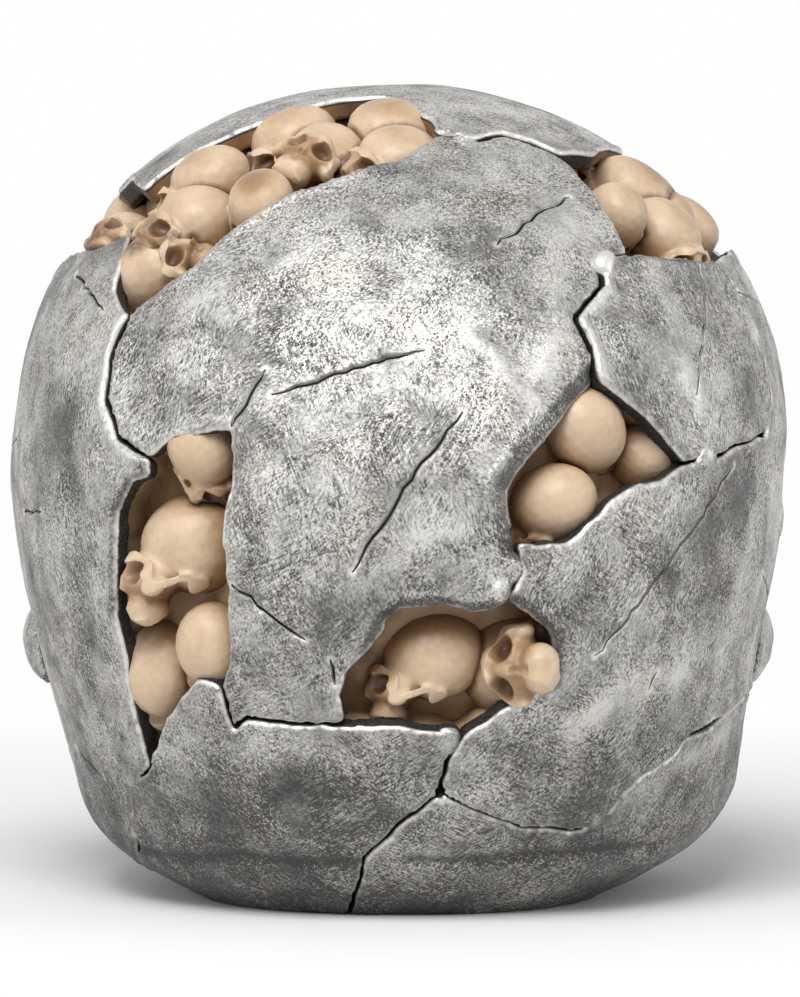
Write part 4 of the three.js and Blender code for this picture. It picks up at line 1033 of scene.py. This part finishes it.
core = joined_mesh("core_filling", [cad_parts["core"].data])
remeshed(core, 0.85)
points = coordinates(core)
d, r = polar(points)
depth = skull_radius(d) - r
base_level = 8
in_hollow = np.clip((depth - plate_thickness - 1.0) / 2, 0, 1) * (points[:, 2] > base_level)
greatest_lump = 2.4
lumps = 0.8 + 1.3 * np.abs(unevenness(points, 6.5, 2.2)) ** 0.8 + 0.35 * unevenness(points, 2.6, 4.4)
points = points + normals(core) * (np.clip(lumps, 0, greatest_lump) * in_hollow)[:, None]
place_vertices(core, np.clip(points, box_low, box_high))
hollow_shade_depth, shade_under_plates_depth = 14, 1.4
# painted shade: the deeper the filling lies in a hollow, the darker brown it is painted
set_attribute(core, "depth", np.clip((depth - plate_thickness) / hollow_shade_depth, 0, 1))
# painted shade: near black on the filling just under the plates, seen through the cracks
set_attribute(core, "shade_under_plates", np.clip((plate_thickness + shade_under_plates_depth - depth) / 0.8, 0, 1))
shade_smooth(core)
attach(core, "root")
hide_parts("core")


def washed_and_shaded_resin():
    """Waxy ivory resin with brown wash left in its recesses, and painted shade wherever the depth value marks a
    place deep in an opening. Its middle colour is reached at Wash.
    """
    tree, out = new_group("washed and shaded resin", "Color", "Roughness", "Height")
    plus, times, about_zero = sums_in(tree)
    names = ("Tops", "Middles", "Recesses", "Wash")
    for name in names:
        kind = "NodeSocketFloat" if name == "Wash" else "NodeSocketColor"
        tree.interface.new_socket(name, in_out="INPUT", socket_type=kind)
    given = tree.nodes.new("NodeGroupInput").outputs
    tops, middles, recesses, wash = (given[name] for name in names)
    place = in_millimetres(tree)
    depth = attribute(tree, "depth")
    cloud = noise(tree, place, 0.16, 4, 0.6)
    mottle = noise(tree, place, 0.9, 6, 0.65)
    stain_and_shade = plus(depth, about_zero(cloud, 0.5), about_zero(mottle, 0.3))
    upper = maths(tree, "DIVIDE", stain_and_shade, wash, clamp=True)
    beyond, rest = maths(tree, "SUBTRACT", stain_and_shade, wash), maths(tree, "SUBTRACT", 1.0, wash)
    lower = maths(tree, "DIVIDE", beyond, rest, clamp=True)
    colour = mixed(tree, lower, mixed(tree, upper, tops, middles), recesses)
    freckles = ramp(tree, noise(tree, place, 1.7, 5, 0.8), (0.62, 0.0), (0.7, 1.0))
    colour = mixed(tree, times(freckles, 0.35), colour, middles)
    # darker brown in the seams where one bone touches the next, and near black painted shade under the plates
    contact = ramp(tree, plus(attribute(tree, "contact"), about_zero(mottle, 0.5)), (0.25, 0.0), (0.95, 0.85))
    colour = mixed(tree, contact, colour, recesses)
    colour = mixed(tree, attribute(tree, "shade_under_plates"), colour, (0.02, 0.018, 0.016))
    feed(tree, out["Color"], colour)
    feed(tree, out["Roughness"], plus(0.3, times(mottle, 0.25)))
    feed(tree, out["Height"], plus(times(mottle, 0.6), cloud))
    return tree


resin = washed_and_shaded_resin()
dress(core, new_material("core resin", resin, bump=0.5, reach=0.3, values={
    "Tops": (0.58, 0.42, 0.27, 1), "Middles": (0.4, 0.25, 0.135, 1), "Recesses": (0.12, 0.052, 0.022, 1),
    "Wash": 0.55,
}))


# ---------------------------------------------------------------------------------------------------
# Small skulls. Thirty-five little skulls without jaws, cast in ivory resin and packed in the hollows.
# Each has a rounded braincase, brow, deep sockets, nose, cheek arches and upper teeth, washed with brown.
# ---------------------------------------------------------------------------------------------------

small_skull_length = 0.19 * breadth


def egg_meshes(eggs):
    """Egg shapes in millimetres, each given as place, radii and tilt in shares of a small skull's length."""
    meshes = []
    for place, radii, tilt in eggs:
        egg = ball_mesh((0, 0, 0), 1.0, radii)
        turn = Matrix.Rotation(tilt, 4, "X")
        egg.transform(Matrix.Scale(small_skull_length, 4) @ Matrix.Translation(Vector(place) * MM) @ turn)
        meshes.append(egg)
    return meshes


def both_sides(place, radii):
    for side in (-1, 1):
        yield (place[0] * side, place[1], place[2]), radii, 0.0


# Braincase and face, then upper jaw and nose bone, brows, outer rims of the sockets, cheeks, bumps behind
# the ears, and teeth
bone = [((0, -0.12, 0.06), (0.325, 0.375, 0.315), 0.0), ((0, 0.19, -0.09), (0.23, 0.2, 0.16), 0.0)]
bone += [((0, 0.27, -0.27), (0.15, 0.14, 0.12), 0.0), ((0, 0.38, -0.11), (0.038, 0.05, 0.09), 0.4)]
bone += both_sides((0.125, 0.325, 0.05), (0.135, 0.06, 0.042))
bone += both_sides((0.235, 0.255, -0.04), (0.035, 0.05, 0.1))
bone += both_sides((0.21, 0.23, -0.165), (0.058, 0.075, 0.055))
bone += both_sides((0.215, -0.05, -0.2), (0.05, 0.07, 0.1))
bone += [
    ((0.13 * math.sin(t), 0.27 + 0.125 * math.cos(t), -0.385), (0.021, 0.024, 0.045), 0.0)
    for t in np.radians((-66, -50, -34, -18, -6, 6, 18, 34, 50, 66))
]
# Sockets, nose, hollows of the temples, and palate
holes = list(both_sides((0.128, 0.405, -0.05), (0.094, 0.19, 0.082)))
holes += [((0, 0.45, -0.19), (0.045, 0.09, 0.07), 0.0), ((0, 0.45, -0.225), (0.062, 0.085, 0.035), 0.0)]
holes += both_sides((0.345, 0.14, -0.06), (0.075, 0.1, 0.075))
holes += [((0, 0.12, -0.43), (0.1, 0.17, 0.09), 0.0)]


def small_skull_shape():
    """One small skull of full size at the origin, its face along +Y."""
    arches = []
    for side in (-1, 1):
        path = np.array([(0.2, 0.25, -0.16), (0.245, 0.18, -0.16), (0.262, 0.08, -0.15), (0.25, -0.03, -0.13)])
        path[:, 0] *= side
        steps = np.linspace(0, len(path) - 1, 10)
        fine = np.stack([np.interp(steps, range(len(path)), path[:, k]) for k in range(3)], axis=1)
        fine = fine * small_skull_length
        arches.append(tube_mesh(fine, 0.65, 0.85))
    solid = remeshed(joined_mesh("small_skull_shape", egg_meshes(bone) + arches), 0.4)
    cutter = remeshed(joined_mesh("small_holes", egg_meshes(holes)), 0.3)
    boolean(solid, cutter, "DIFFERENCE")
    bpy.data.objects.remove(cutter)
    return softened(remeshed(solid, 0.36), 3)


def reach_of(d, place, radii):
    """How far an egg shape reaches in directions from the middle, or nothing where it isn't met."""
    along, start = d / radii, np.array(place) / radii
    a = np.sum(along * along, axis=1)
    b = -along @ start
    inside = b * b - a * (start @ start - 1)
    return np.where(inside > 0, (-b + np.sqrt(np.maximum(inside, 0))) / a, 0)


def recess_depth(local):
    """How far points lie below the egg shapes of a small skull, as a share of its length."""
    r = np.maximum(np.linalg.norm(local, axis=1), 1e-9)
    d = local / r[:, None]
    outside = np.maximum(
        reach_of(d, (0, -0.12, 0.06), np.array((0.325, 0.375, 0.315))),
        reach_of(d, (0, 0.2, -0.15), np.array((0.24, 0.25, 0.24))),
    )
    return outside - r


# Which view each is placed in, its place there, share of the reach towards the eye, facing (turn, tilt), roll
# about the face, share of the length
small_skulls = {
    "crown_left": [
        ("back", (0.017, 0.921), 0.37, (-20, -20), 20, 0.87),
        ("back", (-0.29, 0.915), 0.35, (195, 38), 185, 0.84),
        ("back", (-0.51, 0.868), 0.39, (192, -10), 190, 0.76),
        ("back", (-0.2, 0.9), 0.46, (105, 55), 222, 0.9),
        ("back", (-0.03, 0.895), 0.51, (160, 42), 180, 0.85),
        ("back", (-0.545, 0.817), 0.5, (158, 35), 180, 0.88),
        ("back", (-0.355, 0.838), 0.59, (-80, -20), 60, 0.68),
        ("back", (-0.607, 0.768), 0.54, (68, 45), 0, 0.82),
        ("back", (-0.715, 0.795), 0.33, (125, 35), 240, 0.8),
        ("left", (0.17, 0.828), 0.67, (190, 15), 190, 0.9),
    ],
    "crown_right": [
        ("back", (0.545, 0.825), 0.43, (230, -35), 120, 0.68),
        ("back", (0.694, 0.797), 0.37, (-20, 48), 20, 0.82),
        ("back", (0.66, 0.822), 0.22, (230, -30), 90, 0.68),
        ("back", (0.56, 0.862), 0.24, (150, -5), 180, 0.86),
        ("back", (0.69, 0.815), 0.1, (190, -20), 90, 0.78),
        ("right", (0.2, 0.853), 0.6, (10, 10), 0, 0.88),
    ],
    "nape_left": [
        ("back", (-0.555, 0.41), 0.75, (190, 5), 185, 1.05),
        ("back", (-0.494, 0.53), 0.81, (-60, 10), 60, 0.7),
        ("back", (-0.475, 0.283), 0.77, (-85, -10), 90, 0.75),
        ("back", (-0.605, 0.25), 0.64, (-100, -5), 100, 0.85),
    ],
    "nape_right": [
        ("back", (0.49, 0.558), 0.78, (-60, -30), 90, 0.8),
        ("back", (0.372, 0.462), 0.83, (200, -30), 180, 0.8),
        ("back", (0.65, 0.53), 0.7, (10, -40), 0, 0.66),
    ],
    "nape_middle": [
        ("back", (0.055, 0.27), 0.83, (190, 10), 180, 0.92),
        ("back", (0.3, 0.272), 0.81, (180, 66), -88, 1.12),
    ],
    "forehead_left": [
        ("front", (-0.33, 0.77), 0.74, (215, 45), 190, 0.9),
        ("front", (-0.13, 0.765), 0.79, (60, -20), 90, 0.95),
    ],
    "forehead_right": [
        ("front", (0.41, 0.82), 0.67, (200, 50), 180, 0.75),
        ("front", (0.52, 0.785), 0.65, (-60, -20), 90, 0.7),
    ],
    "temple_left": [
        ("left", (0.254, 0.7), 0.8, (30, 40), 10, 0.85),
        ("left", (0.381, 0.62), 0.78, (-60, -20), 90, 0.8),
        ("left", (0.254, 0.57), 0.82, (200, 40), 190, 0.75),
    ],
    "temple_right": [
        ("right", (0.212, 0.56), 0.84, (210, 45), 190, 0.8),
        ("right", (0.349, 0.64), 0.8, (80, -20), 90, 0.8),
        ("right", (0.434, 0.58), 0.71, (-30, 40), 0, 0.75),
    ],
}
reach_of_view = {"back": back_length, "front": face_length, "left": half_breadth, "right": half_breadth}


def unit(v):
    return np.asarray(v, float) / np.linalg.norm(v)


def small_skull_matrix(view, at, out_share, facing, roll, size):
    eye, place = views[view]
    target, origin = np.array(place(*at), float), np.array(place(0, 0), float)
    middle = target + unit(eye - target) * out_share * reach_of_view[view] + shift
    across, upward = unit(np.array(place(1, 0)) - origin), unit(np.array(place(0, 1)) - origin)
    near = unit((np.array(eye) - origin) * (1, 1, 0))
    turn, tilt = np.radians(facing)
    face = unit((across * math.cos(turn) + upward * math.sin(turn)) * math.cos(tilt) + near * math.sin(tilt))
    top = Vector(-across * math.sin(turn) + upward * math.cos(turn))
    top.rotate(Quaternion(Vector(face), math.radians(roll)))
    right = np.cross(face, top)
    matrix = Matrix.Identity(4)
    for column, axis in enumerate((right, face, top)):
        for row in range(3):
            matrix[row][column] = axis[row] * size
    for row in range(3):
        matrix[row][3] = middle[row] * MM
    return matrix


shape = small_skull_shape()
ivory = new_material("ivory resin", resin, bump=0.35, reach=0.2, values={
    "Tops": (0.64, 0.48, 0.33, 1), "Middles": (0.38, 0.235, 0.125, 1), "Recesses": (0.075, 0.03, 0.011, 1),
    "Wash": 0.42,
})
room_cell, room_swell = 0.6, 0.75
contact_reach, filler_reach = 1.6, 6.0
worn_level, worn_from, worn_share = 0.4, 2.6, 0.6
small_objects = []
for opening, rows in small_skulls.items():
    for number, row in enumerate(rows, 1):
        node = f"{opening}_small_skull_{number}"
        matrix = small_skull_matrix(*row)
        obj = new_object(f"{opening}_bone_{number}", shape.data.copy())
        obj.data.transform(matrix)
        # the frame's solid, swollen a little, trims the shape where plates and neighbours hold it
        room = remeshed(joined_mesh("room", [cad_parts[node].data]), room_cell)
        place_vertices(room, coordinates(room) + normals(room) * room_swell)
        remeshed(room, room_cell)
        boolean(obj, room, "INTERSECT")
        bpy.data.objects.remove(room)
        # bones at the crown are worn nearly level with the shell
        d, r = polar(coordinates(obj))
        if opening.startswith("crown"):
            proud = r - skull_radius(d) - worn_level
            start = np.clip((proud + worn_from) / (2 * worn_from), 0, 1)
            r = r - worn_share * np.where(proud > worn_from, proud, worn_from * start**2)
        place_vertices(obj, np.clip(centre + d * r[:, None], box_low, box_high))
        # brown wash lies in the recesses of each bone, and the deeper a bone lies in the opening, the darker it
        # is painted, as shade
        offset = coordinates(obj) - np.array(matrix.translation) / MM
        local = offset @ np.array(matrix.inverted().to_3x3()).T / small_skull_length
        recess = np.clip(recess_depth(local) / 0.12, 0, 1)
        d, r = polar(coordinates(obj))
        sunken_shade = np.clip((skull_radius(d) - r - plate_thickness) / 9, 0, 1)
        set_attribute(obj, "depth", np.clip(recess * 0.85 + sunken_shade * 0.95, 0, 1))
        shade_smooth(obj)
        dress(obj, ivory)
        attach(obj, "root")
        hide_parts(node)
        small_objects.append(obj)
    # how near each bone comes to its neighbours
    places = [coordinates(obj) for obj in small_objects[-len(rows):]]
    for i, obj in enumerate(small_objects[-len(rows):]):
        others = np.concatenate([p[::2] for j, p in enumerate(places) if j != i])
        set_attribute(obj, "contact", 1 - nearest_distance(places[i], others, contact_reach) / contact_reach)
bpy.data.objects.remove(shape)
crown = next(obj for obj in plate_objects if obj.name.startswith("crown"))
bones = np.concatenate([coordinates(obj)[::3] for obj in small_objects])
set_attribute(crown, "filled", 1 - nearest_distance(coordinates(crown), bones, filler_reach) / filler_reach)


# ---------------------------------------------------------------------------------------------------
# Eye sockets and nose. Two thin cast bowls and one pear-shaped bowl with a middle wall, let in from the
# face. They have the same silver as the plates, painted darker towards the back as shade deep in the bowls.
# ---------------------------------------------------------------------------------------------------

shade_depth_span = 45
for name in ("left_socket", "right_socket", "nose"):
    node = f"{name}_lining"
    obj = softened(remeshed(joined_mesh(f"{name}_bowl", [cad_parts[node].data]), 0.5), 4)
    points = coordinates(obj)
    points = points + normals(obj) * waves(points, (0.18, 5, 6.1), (0.06, 1.8, 2.9))[:, None]
    place_vertices(obj, np.clip(points, box_low, box_high))
    d, r = polar(points)
    depth = skull_radius(d) - r
    rim = points[(depth > 1.4) & (depth < 2.6)]
    # painted shade: the lining darkens the deeper it lies
    set_attribute(obj, "depth", np.clip((depth - 3) / shade_depth_span, 0, 0.32))
    set_attribute(obj, "rim", 1 - nearest_distance(points, rim, rim_reach) / rim_reach)
    shade_smooth(obj)
    dress(obj, silver)
    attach(obj, "root")
    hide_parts(node)

# ---------------------------------------------------------------------------------------------------
# Upper teeth. One cast row of fourteen: flat front teeth, pointed eye teeth and broad back teeth with
# cusps, on a swollen band of roots. Silver like the plates; the gum line gets a small depth value, too
# small to darken it.
# ---------------------------------------------------------------------------------------------------

tooth_height = 0.137 * height
tooth_depth = 0.099 * face_length
row_breadth, row_length, row_front = 0.4015 * breadth, 0.5 * face_length, 0.965 * face_length
row_back = row_front - row_length
felt_thickness = felt_high[2]
tooth_top = felt_thickness + tooth_height
root_band_share, root_band_half_height = 0.36, 3.2
# From the middle to the back: how wide each tooth is beside the others, and how much shorter than the first
tooth_width_shares = (1.1, 0.88, 0.94, 0.86, 0.86, 1.25, 1.05)
tooth_drops = (0, 0.06, 0.02, 0.07, 0.09, 0.09, 0.14)
eye_tooth, first_back_tooth = 2, 3
boxiness = 3.0


def row_point(turn):
    """Place on the curve of the row, from the middle in front (no turn) to either back end."""
    return np.array([
        (row_breadth - tooth_depth) / 2 * math.sin(turn),
        row_back + (row_length - tooth_depth / 2) * math.cos(turn),
    ])


turns = np.linspace(0, math.pi / 2, 400)
row = np.array([row_point(t) for t in turns])
walked = np.concatenate([[0], np.cumsum(np.linalg.norm(np.diff(row, axis=0), axis=1))])


def tooth_mesh(turn, width, drop, number):
    """One tooth: a rounded block for the crown, narrowed into its root, with an edge or cusps below."""
    tall = tooth_height * (1 - drop)
    mesh = bpy.data.meshes.new("tooth")
    shape = bmesh.new()
    bmesh.ops.create_icosphere(shape, subdivisions=5, radius=1)
    back_tooth = number >= first_back_tooth
    for v in shape.verts:
        x, y, z = v.co
        r = (abs(x) ** boxiness + abs(y) ** boxiness + abs(z) ** boxiness) ** (-1 / boxiness)
        x, y, z = x * r, y * r, z * r
        level = (z + 1) / 2
        waist = 1.0 - 0.2 * math.exp(-((level - 0.5) / 0.12) ** 2) - 0.14 * max(level - 0.6, 0)
        thick = 0.9 + 0.1 * min(level * 2, 1) if back_tooth else 0.62 + 0.38 * min(level * 2.2, 1)
        if number == eye_tooth:
            z -= 0.07 * (1 - abs(x)) * (z < 0)
            x *= 1 - 0.22 * max(-z, 0)
        if back_tooth and z < -0.55:
            z += 0.06 * (abs(x) < 0.3) + 0.09 * math.exp(-(y / 0.3) ** 2) - 0.03
        v.co = (
            x * waist * width / 2 * MM, y * thick * (tooth_depth / 2 - 0.5) * MM, z * tall / 2 * MM,
        )
    shape.to_mesh(mesh)
    shape.free()
    here, ahead = row_point(turn), row_point(turn + 0.01)
    heading = math.atan2(ahead[1] - here[1], ahead[0] - here[0])
    mesh.transform(
        Matrix.Translation(Vector((here[0] + shift[0], here[1] + shift[1], tooth_top - tall / 2)) * MM)
        @ Matrix.Rotation(heading, 4, "Z")
    )
    return mesh


tooth_meshes = []
for side in (-1, 1):
    start = 0.0
    for number, share in enumerate(tooth_width_shares):
        width = walked[-1] * share / sum(tooth_width_shares)
        turn = side * float(np.interp(start + width / 2, walked, turns))
        start += width
        tooth_meshes.append(tooth_mesh(turn, width + 0.25, tooth_drops[number], number))
root_level = tooth_top - 0.3 * tooth_height
roots = np.array([(*row_point(t), root_level) for t in np.linspace(-1.5, 1.5, 40)]) + shift
tooth_meshes.append(tube_mesh(roots, root_band_share * tooth_depth, root_band_half_height))
teeth = softened(remeshed(joined_mesh("tooth_row", tooth_meshes), 0.36), 2)
points = coordinates(teeth)
points = points + normals(teeth) * waves(points, (0.08, 1.6, 7.2))[:, None]
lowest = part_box("upper_teeth")[0].z / MM
points[:, 2] = np.maximum(points[:, 2], lowest)
place_vertices(teeth, np.clip(points, box_low, box_high))
gum = np.clip(1 - np.abs(points[:, 2] - (tooth_top - 0.5 * tooth_height)) / 1.6, 0, 1)
set_attribute(teeth, "depth", 0.1 * gum)
shade_smooth(teeth)
dress(teeth, silver)
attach(teeth, "root")
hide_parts("upper_teeth")

# ---------------------------------------------------------------------------------------------------
# Cheek arches. Two cast bars that bridge the hollow between temple and cheek on each side, uneven like
# bone, with the plates' silver finish.
# ---------------------------------------------------------------------------------------------------

for side in ("left", "right"):
    node = f"{side}_cheek_arch"
    obj = softened(remeshed(joined_mesh(f"{side}_arch_silver", [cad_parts[node].data]), 0.6), 12)
    points = coordinates(obj)
    swell = 0.3 + waves(points, (0.45, 7, 3.9), (0.12, 2.5, 1.1))
    place_vertices(obj, np.clip(points + normals(obj) * swell[:, None], box_low, box_high))
    set_attribute(obj, "rim", np.full(len(points), 0.6))
    shade_smooth(obj)
    dress(obj, silver)
    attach(obj, "root")
    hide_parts(node)

# ---------------------------------------------------------------------------------------------------
# Felt pad. A cut sheet of black wool felt, 1 mm thick, glued into a shallow recess under the base.
# ---------------------------------------------------------------------------------------------------


def wool_felt():
    """Dull black cloth with short tangled fibres."""
    tree, out = new_group("wool felt", "Color", "Roughness", "Height")
    plus, times, _ = sums_in(tree)
    fibres = noise(tree, in_millimetres(tree), 2.2, 8, 0.8, 1.5)
    feed(tree, out["Color"], ramp(tree, fibres, (0.3, (0.008, 0.008, 0.009)), (0.75, (0.035, 0.035, 0.037))))
    feed(tree, out["Roughness"], plus(0.85, times(fibres, 0.15)))
    feed(tree, out["Height"], fibres)
    return tree


felt = new_material("black felt", wool_felt(), bump=0.8, reach=0.4)
dress(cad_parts["felt_pad"], felt)


# ---------------------------------------------------------------------------------------------------
# Studio. A plain pale floor and background, one soft lamp above on the camera's side, and two weaker ones
# at the sides, with the camera above the middle of the skull and straight behind it.
# ---------------------------------------------------------------------------------------------------

camera_aside, camera_height, aim_height = 0.27, 133, 70.3
camera = new_object("camera", bpy.data.cameras.new("camera"))
aim = Vector((camera_aside, shift[1], aim_height)) * MM
camera.location = Vector((camera_aside, shift[1] - eye_distance, camera_height)) * MM
camera.rotation_euler = (aim - camera.location).to_track_quat("-Z", "Y").to_euler()
camera.data.sensor_fit = "HORIZONTAL"
camera.data.sensor_width = 36
camera.data.lens = 295.5
bpy.context.scene.camera = camera

white = bpy.data.materials.new("floor white")
white.use_nodes = True
tree = white.node_tree
shader = tree.nodes["Principled BSDF"]
shader.inputs["Base Color"].default_value = (0.9, 0.9, 0.9, 1)
shader.inputs["Roughness"].default_value = 0.8
place = in_millimetres(tree)
from_middle = add_node(tree, "ShaderNodeVectorMath", {0: place}, operation="LENGTH").outputs["Value"]
corner = 400
fade = ramp(tree, maths(tree, "DIVIDE", from_middle, corner), (0.25, 1.0), (0.9, 0.0))
tree.links.new(fade, shader.inputs["Alpha"])
floor = new_object("floor", mesh_of(
    [(-corner, -corner, 0), (corner, -corner, 0), (corner, corner, 0), (-corner, corner, 0)], [(0, 1, 2, 3)],
))
floor.data.materials.append(white)


lamp_aim = Vector((0, 0, 0.07))


def soft_lamp(name, place, size, energy):
    """A square lamp that points at the middle of the skull: place and size in metres, power in watts."""
    data = bpy.data.lights.new(name, "AREA")
    data.size = size
    data.energy = energy
    lamp = new_object(name, data)
    lamp.location = place
    lamp.rotation_euler = (lamp_aim - lamp.location).to_track_quat("-Z", "Y").to_euler()


soft_lamp("lamp above", (-0.15, -0.8, 0.9), 0.6, 11)
soft_lamp("lamp at the left", (-1.1, -0.3, 0.4), 0.6, 2)
soft_lamp("lamp at the right", (1.1, -0.3, 0.4), 0.6, 2)

world = bpy.data.worlds.new("studio")
world.use_nodes = True
bpy.context.scene.world = world
tree = world.node_tree
around = tree.nodes["Background"]
light_path = tree.nodes.new("ShaderNodeLightPath")
straight = maths(tree, "MAXIMUM", light_path.outputs["Is Camera Ray"], light_path.outputs["Is Glossy Ray"])
strength_around, strength_seen = 0.45, 1.0
strength = add_node(
    tree, "ShaderNodeMix", {0: straight, 2: strength_around, 3: strength_seen}, data_type="FLOAT",
)
around.inputs["Color"].default_value = (1, 1, 1, 1)
tree.links.new(strength.outputs[0], around.inputs["Strength"])
bpy.context.scene.view_settings.view_transform = "Standard"
